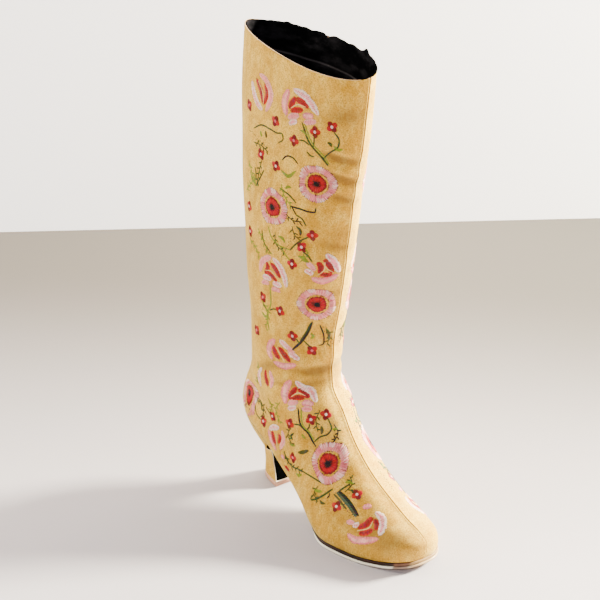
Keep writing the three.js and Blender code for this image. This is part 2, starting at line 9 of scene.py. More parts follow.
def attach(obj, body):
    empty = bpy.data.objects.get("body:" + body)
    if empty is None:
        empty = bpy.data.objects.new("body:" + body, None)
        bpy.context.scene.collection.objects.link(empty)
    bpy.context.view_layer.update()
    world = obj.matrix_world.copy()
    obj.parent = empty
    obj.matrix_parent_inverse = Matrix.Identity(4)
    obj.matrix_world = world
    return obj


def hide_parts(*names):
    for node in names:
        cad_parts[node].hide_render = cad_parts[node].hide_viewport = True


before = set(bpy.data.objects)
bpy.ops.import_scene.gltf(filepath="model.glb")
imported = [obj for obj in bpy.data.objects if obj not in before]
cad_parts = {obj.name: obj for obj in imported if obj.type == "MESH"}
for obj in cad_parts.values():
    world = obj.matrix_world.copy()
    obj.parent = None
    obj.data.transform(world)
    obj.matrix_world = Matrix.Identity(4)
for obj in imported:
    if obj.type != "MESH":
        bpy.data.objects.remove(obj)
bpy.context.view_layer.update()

# The last and the shaft, in millimetres, as in the solids. +X is the boot's inner side, -Y the toe, +Z up.
MM = 0.001
FOOT_LENGTH = 250
BALL_WIDTH = 95
HEEL_HEIGHT = 70
SEAT_SETBACK = 40
TOE_SPRING = 5
TOE_SWING = 1
HEEL_SWING = 3.5
BEND_HEIGHT = 131
ANKLE_DEPTH, ANKLE_WIDTH = 102, 70
CALF_DEPTH, CALF_WIDTH = 157, 76
SHAFT_HEIGHT = 439
COLLAR_SLOPE, COLLAR_WAVE = 7, 2.5
WALL = 2.2
CLEARANCE, EDGE_CLEARANCE = 0.3, 0.6
OUTSOLE_THICKNESS, RAND_THICKNESS = 2.4, 2.8
OUTSOLE_MARGIN, RAND_MARGIN = 1.7, 1.0
OUTSOLE_TUCK, RAND_TUCK = 11, 5
TOP_PIECE_THICKNESS, TOP_PIECE_LENGTH, TOP_PIECE_WIDTH = 5.5, 33, 34
NECK_LENGTH, NECK_WIDTH = 27, 26
BREAST_COVER_THICKNESS = 1
BREAST_COVER_INSET = 0.6  # less than in the solids, so that the black reaches the cover's cut edge
ZIP_OPENING, ZIP_LENGTH = 9, 318
FEATHER_HEIGHT = OUTSOLE_THICKNESS + RAND_THICKNESS + CLEARANCE + EDGE_CLEARANCE

SOLE_LINE = dict(
    along=[0, 0.12, 0.25, 0.37, 0.48, 0.57, 0.65, 0.8, 0.9, 1],
    rise=[1, 0.955, 0.83, 0.58, 0.29, 0.08, 0, 0, 0, 0],
    spring=[0, 0, 0, 0, 0, 0, 0, 0, 0.35, 1],
)
# Shares of the foot's length, of the rise to the bend and of the ball's width, from the edge up.
FOOT_LEVELS = dict(
    front_along=[0.995, 1.0, 1.0, 0.965, 0.9, 0.806, 0.694, 0.597, 0.528],
    front=[0, 0.055, 0.115, 0.18, 0.24, 0.335, 0.46, 0.625, 0.81],
    back_along=[0.006, -0.004, -0.01, -0.01, -0.005, 0.003, 0.015, 0.03, 0.045],
    back=[0, 0.08, 0.18, 0.29, 0.4, 0.52, 0.64, 0.76, 0.88],
    follow=[1, 1, 1, 0.95, 0.85, 0.6, 0.35, 0.15, 0.04],
    heel=[0.385, 0.395, 0.4, 0.395, 0.385, 0.375, 0.365, 0.365, 0.375],
    waist_in=[0.3, 0.315, 0.325, 0.33, 0.335, 0.345, 0.355, 0.37, 0.385],
    waist_out=[0.385, 0.395, 0.395, 0.39, 0.38, 0.375, 0.375, 0.38, 0.39],
    ball_in=[0.5, 0.51, 0.5, 0.485, 0.455, 0.43, 0.405, 0.39, 0.385],
    ball_out=[0.525, 0.535, 0.52, 0.49, 0.45, 0.41, 0.385, 0.385, 0.39],
    toe=[0.52, 0.53, 0.51, 0.47, 0.43, 0.39, 0.365, 0.365, 0.375],
    fullness=[2.45, 2.4, 2.35, 2.25, 2.15, 2.08, 2.02, 2, 2],
)
# Shares of the shaft's height, depth and width, from the bend up.
SHAFT_LEVELS = dict(
    up=[0, 0.12, 0.3, 0.55, 0.8, 1],
    depth=[0.995, 1.0, 1.13, 1.27, 1.38, 1.435],
    back_along=[0.058, 0.049, 0.014, -0.025, -0.043, -0.045],
    width=[0.99, 1.015, 1.08, 1.1, 1.08, 1.01],
)
STATIONS = [0.1, 0.42, 0.7, 0.92]
ZIP_LINE = dict(down=[0, 0.5, 1], turn=[0.32, 0.38, 0.47])
BREAST_ALONG = 0.262


def through(xs, ys, x):
    """A smooth curve through the rows ys at xs, read at x; it never overshoots a row."""
    xs, ys, x = np.asarray(xs, float), np.asarray(ys, float), np.atleast_1d(np.asarray(x, float))
    if ys.ndim == 1:
        ys = np.repeat(ys[:, None], len(x), axis=1)
    gaps = np.diff(xs)[:, None]
    secants = np.diff(ys, axis=0) / gaps
    slopes = np.empty_like(ys)
    slopes[0], slopes[-1] = secants[0], secants[-1]
    before, after = secants[:-1], secants[1:]
    w1, w2 = 2 * gaps[1:] + gaps[:-1], gaps[1:] + 2 * gaps[:-1]
    with np.errstate(divide="ignore", invalid="ignore"):
        mean = (w1 + w2) / (w1 / before + w2 / after)
    slopes[1:-1] = np.where(before * after > 0, mean, 0)
    x = np.clip(x, xs[0], xs[-1])
    i = np.clip(np.searchsorted(xs, x, side="right") - 1, 0, len(xs) - 2)
    n = np.arange(len(x))
    span = xs[i + 1] - xs[i]
    s = (x - xs[i]) / span
    return (
        ys[i, n] * (1 + 2 * s) * (1 - s) ** 2
        + ys[i + 1, n] * s * s * (3 - 2 * s)
        + slopes[i, n] * span * s * (1 - s) ** 2
        + slopes[i + 1, n] * span * s * s * (s - 1)
    )


def smoothstep(x, low, high):
    s = np.clip((x - low) / (high - low), 0, 1)
    return s * s * (3 - 2 * s)


def edge_height(forward):
    """Height of the upper's lower edge, by the distance forward of the origin."""
    along = (np.asarray(forward, float) + SEAT_SETBACK) / FOOT_LENGTH
    shape = along.shape
    rise = through(SOLE_LINE["along"], SOLE_LINE["rise"], along.ravel()).reshape(shape)
    spring = through(SOLE_LINE["along"], SOLE_LINE["spring"], along.ravel()).reshape(shape)
    return FEATHER_HEIGHT + rise * (HEEL_HEIGHT - FEATHER_HEIGHT) + spring * TOE_SPRING


def forward_of(along):
    return np.asarray(along, float) * FOOT_LENGTH - SEAT_SETBACK


def level_table():
    """The levels in millimetres, and the distance of each along the front from the toe."""
    foot = {k: np.array(v, float) for k, v in FOOT_LEVELS.items()}
    front, back = forward_of(foot["front_along"]), forward_of(foot["back_along"])
    rows = dict(
        front=front,
        front_height=edge_height(front) + foot["front"] * (BEND_HEIGHT - edge_height(front)),
        back=back,
        back_height=edge_height(back) + foot["back"] * (BEND_HEIGHT - edge_height(back)),
        follow=foot["follow"],
        fullness=foot["fullness"],
        wave=np.zeros(len(front)),
    )
    for name in ("heel", "waist_in", "waist_out", "ball_in", "ball_out", "toe"):
        rows[name] = foot[name] * BALL_WIDTH
    shaft = {k: np.array(v, float) for k, v in SHAFT_LEVELS.items()}
    depth = ANKLE_DEPTH + (shaft["depth"] - 1) / 0.41 * (CALF_DEPTH - ANKLE_DEPTH)
    half = (ANKLE_WIDTH + (shaft["width"] - 1) / 0.1 * (CALF_WIDTH - ANKLE_WIDTH)) / 2
    height = BEND_HEIGHT + shaft["up"] * (SHAFT_HEIGHT - BEND_HEIGHT)
    back = forward_of(shaft["back_along"])
    more = dict(
        front=back + depth,
        front_height=height - shaft["up"] * COLLAR_SLOPE,
        back=back,
        back_height=height + shaft["up"] * COLLAR_SLOPE,
        follow=np.zeros(len(back)),
        fullness=np.full(len(back), 2.0),
        wave=shaft["up"] ** 4 * COLLAR_WAVE,
    )
    for name in ("heel", "waist_in", "waist_out", "ball_in", "ball_out", "toe"):
        more[name] = half
    rows = {k: np.concatenate([rows[k], more[k]]) for k in rows}
    steps = np.hypot(np.diff(rows["front"]), np.diff(rows["front_height"]))
    return rows, np.concatenate([[0], np.cumsum(steps)])


LEVELS, DISTANCES = level_table()
COLLAR = DISTANCES[-1]
ZIP_END = COLLAR - ZIP_LENGTH
NO_ZIP = 999.0  # the gap to the zip's line where there is none


def surface(distance, angle, margin=0.0):
    """Points of the upper's outer face. angle is 0 at the back, pi in front, more on the inner side."""
    distance, angle = np.broadcast_arrays(np.asarray(distance, float), np.asarray(angle, float))
    shape = distance.shape
    distance, angle = distance.ravel(), angle.ravel()
    level = {k: through(DISTANCES, v, distance) for k, v in LEVELS.items()}
    t = (1 - np.cos(angle)) / 2
    inner = np.sin(angle) < 0
    halves = np.array([
        level["heel"],
        np.where(inner, level["waist_in"], level["waist_out"]),
        np.where(inner, level["ball_in"], level["ball_out"]),
        level["toe"],
    ])
    half = through(STATIONS, halves, t)
    full = level["fullness"]
    around = (1 - np.abs(np.cos(angle)) ** full) ** (1 / full)
    forward = (1 - t) * (level["back"] - margin) + t * (level["front"] + margin)
    middle = (1 - t) * level["back"] + t * level["front"]
    along = (middle + SEAT_SETBACK) / FOOT_LENGTH
    swing = TOE_SWING * smoothstep(along, 0.35, 1.1) - HEEL_SWING
    across = (half + margin) * around * np.where(inner, 1, -1) + swing
    flat = (1 - t) * level["back_height"] + t * level["front_height"]
    lift = (1 - t) * (level["back_height"] - edge_height(level["back"]))
    lift = lift + t * (level["front_height"] - edge_height(level["front"]))
    height = flat + level["follow"] * (edge_height(forward) + lift - flat)
    height = height + level["wave"] * np.sin(2 * angle)
    return np.stack([across, -forward, height], axis=-1).reshape(*shape, 3)


def unit(v):
    return v / np.maximum(np.linalg.norm(v, axis=-1, keepdims=True), 1e-9)


def arcs_of(distances, side, fine=480):
    """Angles and arc lengths from the front seam back, one row a distance; side is -1 outer, 1 inner."""
    angles = math.pi + side * math.pi * (np.arange(fine + 1) / fine) * (1 - 1e-7)
    points = surface(distances[:, None], angles[None, :])
    steps = np.linalg.norm(np.diff(points, axis=1), axis=-1)
    return angles, np.concatenate([np.zeros((len(distances), 1)), np.cumsum(steps, axis=1)], axis=1)


def zip_angle(distance):
    down = np.clip((COLLAR - distance) / ZIP_LENGTH, 0, 1)
    return math.pi * (1 + through(ZIP_LINE["down"], ZIP_LINE["turn"], down))


def make_piece(name, points, faces, material, slot=None, replaces=(), body="root", smooth=True):
    """A mesh object at the origin from points in millimetres, riding on its body."""
    mesh = bpy.data.meshes.new(name)
    mesh.from_pydata((np.asarray(points, float) * MM).tolist(), [], faces)
    mesh.validate()
    mesh.polygons.foreach_set("use_smooth", [smooth] * len(mesh.polygons))
    mesh.materials.append(material)
    mesh.update()
    piece = bpy.data.objects.new(name, mesh)
    bpy.context.scene.collection.objects.link(piece)
    if slot:
        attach(piece, body)
    if replaces:
        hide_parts(*replaces)
    return piece


def grid_faces(rows, columns, closed=True, flip=False):
    """Quads of a grid of rows by columns, whose columns may close on themselves."""
    faces = []
    for r in range(rows - 1):
        for c in range(columns if closed else columns - 1):
            n = (c + 1) % columns
            quad = (r * columns + c, r * columns + n, (r + 1) * columns + n, (r + 1) * columns + c)
            faces.append(quad[::-1] if flip else quad)
    return faces


# Node helpers for the materials. A Mix node's colour sockets share their names with others, so they go
# by number.
COLOR_A, COLOR_B, COLOR_RESULT = 6, 7, 2


class Shader:
    """A material with a Principled shader, whose nodes read the piece's own coordinates."""

    def __init__(self, name, color, roughness, **sockets):
        self.material = bpy.data.materials.new(name)
        self.material.use_nodes = True
        self.tree = self.material.node_tree
        self.principled = self.tree.nodes["Principled BSDF"]
        self.coords = self.add("ShaderNodeTexCoord").outputs["Object"]
        self.set(**{"Base Color": (*color, 1), "Roughness": roughness}, **sockets)

    def set(self, **sockets):
        for name, value in sockets.items():
            self.principled.inputs[name].default_value = value

    def add(self, kind, **settings):
        node = self.tree.nodes.new(kind)
        for name, value in settings.items():
            setattr(node, name, value)
        return node

    def link(self, a, b):
        self.tree.links.new(a, b)

    def noise(self, scale, detail=4.0, rough=0.6, stretch=None, distortion=0.0):
        node = self.add("ShaderNodeTexNoise")
        node.inputs["Scale"].default_value = scale
        node.inputs["Detail"].default_value = detail
        node.inputs["Roughness"].default_value = rough
        node.inputs["Distortion"].default_value = distortion
        source = self.coords
        if stretch:
            mapping = self.add("ShaderNodeMapping")
            mapping.inputs["Scale"].default_value = stretch
            self.link(source, mapping.inputs["Vector"])
            source = mapping.outputs["Vector"]
        self.link(source, node.inputs["Vector"])
        return node.outputs["Fac"]

    def ramp(self, value, low, high, to_low=0.0, to_high=1.0):
        node = self.add("ShaderNodeMapRange", interpolation_type="SMOOTHSTEP")
        for name, x in zip(("From Min", "From Max", "To Min", "To Max"), (low, high, to_low, to_high)):
            node.inputs[name].default_value = x
        self.link(value, node.inputs["Value"])
        return node.outputs["Result"]

    def mix(self, factor, a, b, blend="MIX"):
        node = self.add("ShaderNodeMix", data_type="RGBA", blend_type=blend)
        self.link(factor, node.inputs["Factor"])
        for socket, value in ((node.inputs[COLOR_A], a), (node.inputs[COLOR_B], b)):
            if isinstance(value, tuple):
                socket.default_value = (*value, 1)
            else:
                self.link(value, socket)
        return node.outputs[COLOR_RESULT]

    def color(self, value):
        self.link(value, self.principled.inputs["Base Color"])

    def rough(self, value):
        self.link(value, self.principled.inputs["Roughness"])

    def multiply(self, a, b):
        node = self.add("ShaderNodeMath", operation="MULTIPLY")
        self.link(a, node.inputs[0])
        self.link(b, node.inputs[1])
        return node.outputs[0]

    def bump(self, heights):
        """Bump from (height socket, strength, millimetres) rows, one on another."""
        last = None
        for value, strength, depth in heights:
            node = self.add("ShaderNodeBump")
            node.inputs["Strength"].default_value = strength
            node.inputs["Distance"].default_value = depth * MM
            self.link(value, node.inputs["Height"])
            if last is not None:
                self.link(last, node.inputs["Normal"])
            last = node.outputs["Normal"]
        self.link(last, self.principled.inputs["Normal"])

    def attribute(self, name):
        return self.add("ShaderNodeAttribute", attribute_name=name)


def srgb(code):
    """A linear colour from a web code."""
    values = [int(code[i:i + 2], 16) / 255 for i in (1, 3, 5)]
    return tuple(v / 12.92 if v <= 0.04045 else ((v + 0.055) / 1.055) ** 2.4 for v in values)


def suede_material():
    suede = Shader("sand_suede", srgb("#c8923f"), 0.95, **{
        "Sheen Weight": 0.28, "Sheen Roughness": 0.4, "Sheen Tint": (0.9, 1.0, 0.5, 1),
        "Specular IOR Level": 0.06,
    })
    nap_and_shade = suede.noise(16, 5, 0.62, distortion=0.5)
    patches = suede.noise(120, 6, 0.7, stretch=(1, 1, 0.6))
    nap = suede.noise(850, 3, 0.75)
    fibre = suede.noise(2600, 2, 0.6)
    tone = suede.mix(suede.ramp(nap_and_shade, 0.36, 0.66), srgb("#c59226"), srgb("#e3b03e"))
    tone = suede.mix(suede.ramp(patches, 0.42, 0.68, 0, 0.6), tone, srgb("#f3cc5e"))
    tone = suede.mix(suede.ramp(patches, 0.24, 0.46, 0.5, 0), tone, srgb("#9c6c1e"))
    tone = suede.mix(suede.ramp(nap, 0.3, 0.62, 0.75, 0), tone, srgb("#80520f"))
    # Painted shade: the suede darkened on one flank of each fold and in patches, the most on the toe's outer
    # side.
    ragged = suede.ramp(nap_and_shade, 0.3, 0.7, 0.35, 1)
    painted_shade = suede.multiply(suede.attribute("painted_shade").outputs["Fac"], ragged)
    tone = suede.mix(suede.ramp(painted_shade, 0, 1.2, 0, 0.75), tone, srgb("#765226"))
    cut = suede.attribute("cut_edge").outputs["Fac"]
    tone = suede.mix(suede.ramp(cut, 0.2, 0.9, 0, 0.85), tone, srgb("#d0a587"))
    # Seams and stitching drawn dark, and painted shade in the folds' troughs.
    seam = suede.attribute("seam").outputs["Fac"]
    tone = suede.mix(suede.ramp(seam, 0, 1, 0, 0.8), tone, srgb("#4f2f14"))
    suede.color(tone)
    suede.bump([(patches, 0.4, 0.6), (nap, 0.55, 0.2), (fibre, 0.45, 0.08)])
    return suede.material


def lining_material():
    lining = Shader("black_lining", srgb("#050506"), 0.8, **{"Specular IOR Level": 0.0})
    grain = lining.noise(700, 4, 0.6)
    wrinkle = lining.noise(45, 4, 0.55, stretch=(1, 1, 2.2))
    tone = lining.mix(lining.ramp(wrinkle, 0.42, 0.72), srgb("#050506"), srgb("#1d1b1e"))
    edge = lining.ramp(lining.attribute("facing_edge").outputs["Fac"], 0.1, 1, 0, 0.8)
    lining.color(lining.mix(edge, tone, srgb("#514b4f")))
    lining.rough(lining.ramp(grain, 0.3, 0.7, 0.7, 0.9))
    lining.bump([(wrinkle, 0.5, 0.8), (grain, 0.4, 0.12)])
    return lining.material


def thread_material():
    thread = Shader("silk_thread", (0.8, 0.8, 0.8), 0.5, **{"Sheen Weight": 0.0, "Specular IOR Level": 0.2})
    strand = thread.attribute("thread").outputs["Color"]
    twist = thread.noise(2200, 2, 0.5)
    shadow = thread.ramp(twist, 0.3, 0.7, 0.18, 0)
    thread.color(thread.mix(shadow, strand, srgb("#5a3322"), "MULTIPLY"))
    thread.bump([(twist, 0.5, 0.08)])
    return thread.material


def leather_material(name, low, high, rough, grain_scale=600, coat=0.0, depth=0.12, specular=0.4, wear_and_highlight=0.0):
    """A cut or polished leather: two tones in streaks, with a fine grain."""
    leather = Shader(name, srgb(low), rough, **{
        "Coat Weight": coat, "Coat Roughness": 0.25, "Specular IOR Level": specular,
    })
    streak = leather.noise(60, 5, 0.6, stretch=(1, 0.5, 6))
    grain = leather.noise(grain_scale, 4, 0.65)
    leather.color(leather.mix(leather.ramp(streak, 0.35, 0.68), srgb(low), srgb(high)))
    leather.rough(leather.ramp(grain, 0.3, 0.7, rough - 0.08, rough + 0.1))
    leather.bump([(streak, 0.3, 0.25), (grain, 0.5, depth)])
    # Brown and tan marks at the toe: wear, and on the dark rand the tan is also a painted highlight.
    if wear_and_highlight:
        fresh = leather.principled.inputs["Base Color"].links[0].from_socket
        patchy = leather.noise(180, 4, 0.6)
        brown = leather.ramp(leather.attribute("brown").outputs["Fac"], 0, 1, 0, wear_and_highlight)
        tan = leather.ramp(leather.attribute("tan").outputs["Fac"], 0, 1, 0, wear_and_highlight)
        marked = leather.mix(brown, fresh, leather.mix(patchy, srgb("#4a2a1a"), srgb("#8a5f47")))
        leather.color(leather.mix(tan, marked, leather.mix(patchy, srgb("#9c7440"), srgb("#c9a468"))))
    return leather.material


def zip_cloth_material():
    cloth = Shader("zip_cloth", srgb("#121214"), 0.8, **{"Sheen Weight": 0.2})
    wave = cloth.add("ShaderNodeTexWave", wave_type="BANDS", bands_direction="Z")
    wave.inputs["Scale"].default_value = 420
    cloth.link(cloth.coords, wave.inputs["Vector"])
    fuzz = cloth.noise(1500, 3, 0.6)
    cloth.color(cloth.mix(wave.outputs["Fac"], srgb("#0b0b0d"), srgb("#1d1d20")))
    cloth.bump([(wave.outputs["Fac"], 0.5, 0.15), (fuzz, 0.4, 0.1)])
    return cloth.material


def enamel_material():
    enamel = Shader("black_enamel", srgb("#18181b"), 0.32, **{"Metallic": 0.6, "Coat Weight": 0.4})
    scratch = enamel.noise(420, 5, 0.7, stretch=(4, 4, 0.5))
    enamel.color(enamel.mix(enamel.ramp(scratch, 0.55, 0.75), srgb("#161618"), srgb("#4a4a4e")))
    enamel.rough(enamel.ramp(scratch, 0.3, 0.7, 0.26, 0.42))
    enamel.bump([(scratch, 0.25, 0.05)])
    return enamel.material


SUEDE = suede_material()
LINING = lining_material()
THREAD = thread_material()
RAND_LEATHER = leather_material("brown_rand", "#1c0c07", "#32180d", 0.6, 500, 0.05, specular=0.25, wear_and_highlight=0.75)
SOLE_EDGE = leather_material("cream_sole", "#e6dac2", "#f4ecdc", 0.45, 700, 0.2, 0.06, wear_and_highlight=0.9)
BLACK_LEATHER = leather_material("black_breast", "#010101", "#040404", 0.6, 520, 0.0, 0.03, specular=0.0)
TREAD_LEATHER = leather_material("tan_tread", "#b98367", "#d9a98c", 0.55, 800, 0.05)
ZIP_CLOTH = zip_cloth_material()
ENAMEL = enamel_material()

# Soft folds of the suede: millimetres up the front from the toe's edge, round from the front
# seam (less than 0 on the outer side), half length, half width, depth (less than 0 is a ridge) and tilt
# in degrees.
FOLDS = [
    dict(up=416, round=-17, long=19, wide=5.5, depth=2.2, tilt=-14),
    dict(up=426, round=-26, long=20, wide=5.5, depth=-0.9, tilt=-12),
    dict(up=397, round=-15, long=20, wide=5.5, depth=2.4, tilt=-18),
    dict(up=406, round=-14, long=18, wide=4.5, depth=-1.0, tilt=-16),
    dict(up=378, round=-13, long=18, wide=5.5, depth=1.7, tilt=-20),
    dict(up=455, round=-22, long=26, wide=8, depth=0.6, tilt=8),
    dict(up=330, round=-12, long=20, wide=6, depth=1.2, tilt=-12),
    dict(up=318, round=-30, long=24, wide=7, depth=-0.7, tilt=6),
    dict(up=282, round=-14, long=18, wide=6, depth=0.9, tilt=10),
    dict(up=203, round=-16, long=26, wide=5.5, depth=1.7, tilt=4),
    dict(up=214, round=-28, long=26, wide=5, depth=-0.9, tilt=6),
    dict(up=186, round=-34, long=34, wide=6, depth=1.3, tilt=14),
    dict(up=198, round=-66, long=24, wide=7, depth=1.0, tilt=28),
    dict(up=176, round=-52, long=24, wide=6, depth=-0.6, tilt=22),
    dict(up=206, round=22, long=30, wide=5, depth=1.2, tilt=-4),
    dict(up=188, round=36, long=34, wide=6, depth=1.2, tilt=-14),
    dict(up=172, round=54, long=26, wide=6, depth=-0.6, tilt=-22),
    dict(up=385, round=48, long=30, wide=8, depth=1.0, tilt=20),
    dict(up=330, round=60, long=26, wide=8, depth=0.9, tilt=-12),
    dict(up=120, round=-46, long=26, wide=8, depth=0.7, tilt=34),
    dict(up=112, round=44, long=26, wide=8, depth=0.7, tilt=-34),
]
DEEPEST_FOLD = 1.5
# Patches of painted shade in the suede's colour, in the same measures; the deepest darkens the toe's outer
# side, turned from the light.
SHADE_PATCHES = [
    dict(up=462, round=-15, long=18, wide=16, depth=0.7),
    dict(up=440, round=-12, long=14, wide=12, depth=0.1),
    dict(up=344, round=-10, long=13, wide=8, depth=0.9),
    dict(up=300, round=-52, long=26, wide=14, depth=0.4),
    dict(up=26, round=-50, long=52, wide=24, depth=1.3),
    dict(up=20, round=46, long=40, wide=18, depth=0.4),
]
SEAM_RIDGE, SEAM_GROOVE = 0.85, 0.8
SEAM_HALF, GROOVE_HALF = 2.4, 0.5
HEM_DROP = 4.2  # collar to the line of stitching under it


def fold_frame(fold, distance, arc):
    """Places along and across a fold, in half lengths and half widths."""
    tilt = math.radians(fold["tilt"])
    du, da = distance - fold["up"], arc - fold["round"]
    lengthwise = da * math.cos(tilt) + du * math.sin(tilt)
    crosswise = du * math.cos(tilt) - da * math.sin(tilt)
    return lengthwise / fold["long"], crosswise / fold["wide"]


def bell(x, half):
    return np.exp(-((x / half) ** 2))


def relief(distance, arc, zip_gap, back_gap):
    """How far the suede stands over the plain surface, and how deep in a seam it lies, drawn dark; the
    darkness also holds painted shade in the folds' troughs.
    """
    ridge = SEAM_RIDGE * bell(arc, SEAM_HALF) - SEAM_GROOVE * bell(arc, GROOVE_HALF)
    ridge = ridge + 0.22 * bell(back_gap, SEAM_HALF) - 0.4 * bell(back_gap, 0.45)
    trough = np.zeros_like(arc)
    for fold in FOLDS:
        lengthwise, crosswise = fold_frame(fold, distance, arc)
        trough = trough + fold["depth"] * np.exp(-(crosswise ** 2) - lengthwise ** 2)
    wander = 0.35 * np.sin(distance / 31 + arc / 23) + 0.25 * np.sin(distance / 17 - arc / 14 + 1.3)
    rise = np.maximum(wander * smoothstep(distance, 90, 200) - trough, -DEEPEST_FOLD)
    rise = rise - 0.28 * bell(COLLAR - distance - HEM_DROP, 0.7) * (zip_gap > 7)
    reach = np.where(distance >= ZIP_END, np.abs(zip_gap), np.hypot(zip_gap, distance - ZIP_END))
    reach = reach - ZIP_OPENING / 2
    slot = 1 - smoothstep(reach, -0.7, 0.3)
    stitched = bell(reach - 2.6, 0.5)
    rise = rise * (1 - slot) + 0.35 * bell(reach - 1.0, 0.9) - 0.25 * stitched - WALL * slot
    ridge = ridge * (0.25 + 0.75 * smoothstep(distance, 12, 40))
    dark = bell(arc, 0.62) * smoothstep(distance, 14, 46) + 0.8 * bell(back_gap, 0.5) + 0.35 * stitched
    # Painted shade: darker in the troughs of the folds.
    dark = dark + 0.2 * np.clip(trough, 0, 1.4)
    return rise + ridge * (1 - slot), np.clip(dark, 0, 1)


def painted_shade_of(distance, arc):
    """Painted shade in the suede's colour: on one flank of each fold, and in the darker patches."""
    shade = np.zeros_like(arc)
    for fold in FOLDS:
        lengthwise, crosswise = fold_frame(fold, distance, arc)
        shade = shade + fold["depth"] * np.exp(-((crosswise - 0.35) ** 2) * 1.6 - lengthwise ** 2)
    for patch in SHADE_PATCHES:
        du, da = (distance - patch["up"]) / patch["wide"], (arc - patch["round"]) / patch["long"]
        shade = shade + patch["depth"] * np.exp(-du ** 2 - da ** 2)
    return np.clip(shade, -1, 1.6)


# Columns of the suede: millimetres from a seam, and from the zip's line; then counts between them
FINE_STEPS = [0, 0.3, 0.6, 0.95, 1.4, 2.0, 2.8, 3.8, 5.0]
ZIP_STEPS = [-7.6, -6.2, -5.4, -4.9, -4.5, -4.1, -3.7, -3.0, 0, 3.0, 3.7, 4.1, 4.5, 4.9, 5.4, 6.2, 7.6]
OUTER_COLUMNS, FRONT_COLUMNS, REAR_COLUMNS = 92, 26, 62
ROW_STEP = 2.35


def upper_grid():
    """The suede's rows and columns: angle, arc from the front seam, gaps to the zip's line and back seam."""
    rows = int(round(COLLAR / ROW_STEP))
    distances = np.linspace(0, COLLAR, rows + 1)
    angles, arcs, zips, backs = [], [], [], []
    outer_angles, outer_arcs = arcs_of(distances, -1)
    inner_angles, inner_arcs = arcs_of(distances, 1)
    fine = np.array(FINE_STEPS)
    zip_at = zip_angle(distances)
    for r in range(len(distances)):
        length, other = outer_arcs[r, -1], inner_arcs[r, -1]
        plain = np.linspace(fine[-1], length - fine[-1], OUTER_COLUMNS)[1:-1]
        outer = np.concatenate([fine, plain, length - fine[::-1]])
        zip_arc = np.interp(zip_at[r], inner_angles, inner_arcs[r])
        band = zip_arc + np.array(ZIP_STEPS)
        front = np.linspace(fine[-1], band[0], FRONT_COLUMNS)[1:-1]
        rear = np.linspace(band[-1], other - fine[-1], REAR_COLUMNS)[1:-1]
        inner = np.concatenate([fine[1:], front, band, rear, (other - fine[::-1])[:-1]])
        turn = np.concatenate([
            np.interp(outer, outer_arcs[r], outer_angles)[::-1],
            np.interp(inner, inner_arcs[r], inner_angles),
        ])
        signed = np.concatenate([-outer[::-1], inner])
        angles.append(turn)
        arcs.append(signed)
        zips.append(np.where(signed > 0, signed - zip_arc, NO_ZIP))
        backs.append(np.where(signed > 0, other - signed, length + signed))
    return distances, np.array(angles), np.array(arcs), np.array(zips), np.array(backs)


def grid_normals(points):
    """Outward normals of a grid whose columns close on themselves."""
    down = np.gradient(points, axis=0)
    round_ = np.roll(points, -1, axis=1) - np.roll(points, 1, axis=1)
    normals = unit(np.cross(round_, down))
    middle = points.mean(axis=1, keepdims=True)
    if np.sum(normals * (points - middle)) < 0:
        normals = -normals
    return normals


def set_values(piece, name, values):
    """A number for each point of a piece, for its material."""
    attribute = piece.data.attributes.new(name, "FLOAT", "POINT")
    attribute.data.foreach_set("value", np.asarray(values, np.float32))


RIM_RADIUS, RIM_STEPS = 0.55, 7
TURNED_UNDER = ((2.0, 0.25), (1.1, 0.32), (0.35, 0.2))  # in from the foot's edge, and down
SLOT_COLUMNS = 4.6  # columns nearer to the zip's line than this are left open
# The lining: its facing ends 25 mm under the collar, and its lip stands over the rim (out, up).
FACING_DROP, LINING_ROWS, LINING_COLUMNS = 25, 110, 240
LIP = ((0.0, 1.2), (0.35, 1.9), (1.0, 2.2), (1.75, 1.8), (2.1, 0.9))
# Peak and notches of the lip: height, radians round from the zip, half width
NOTCHES = ((2.6, 0, 0.05), (-1.4, 0.16, 0.05), (-3.2, 0.75, 0.04))


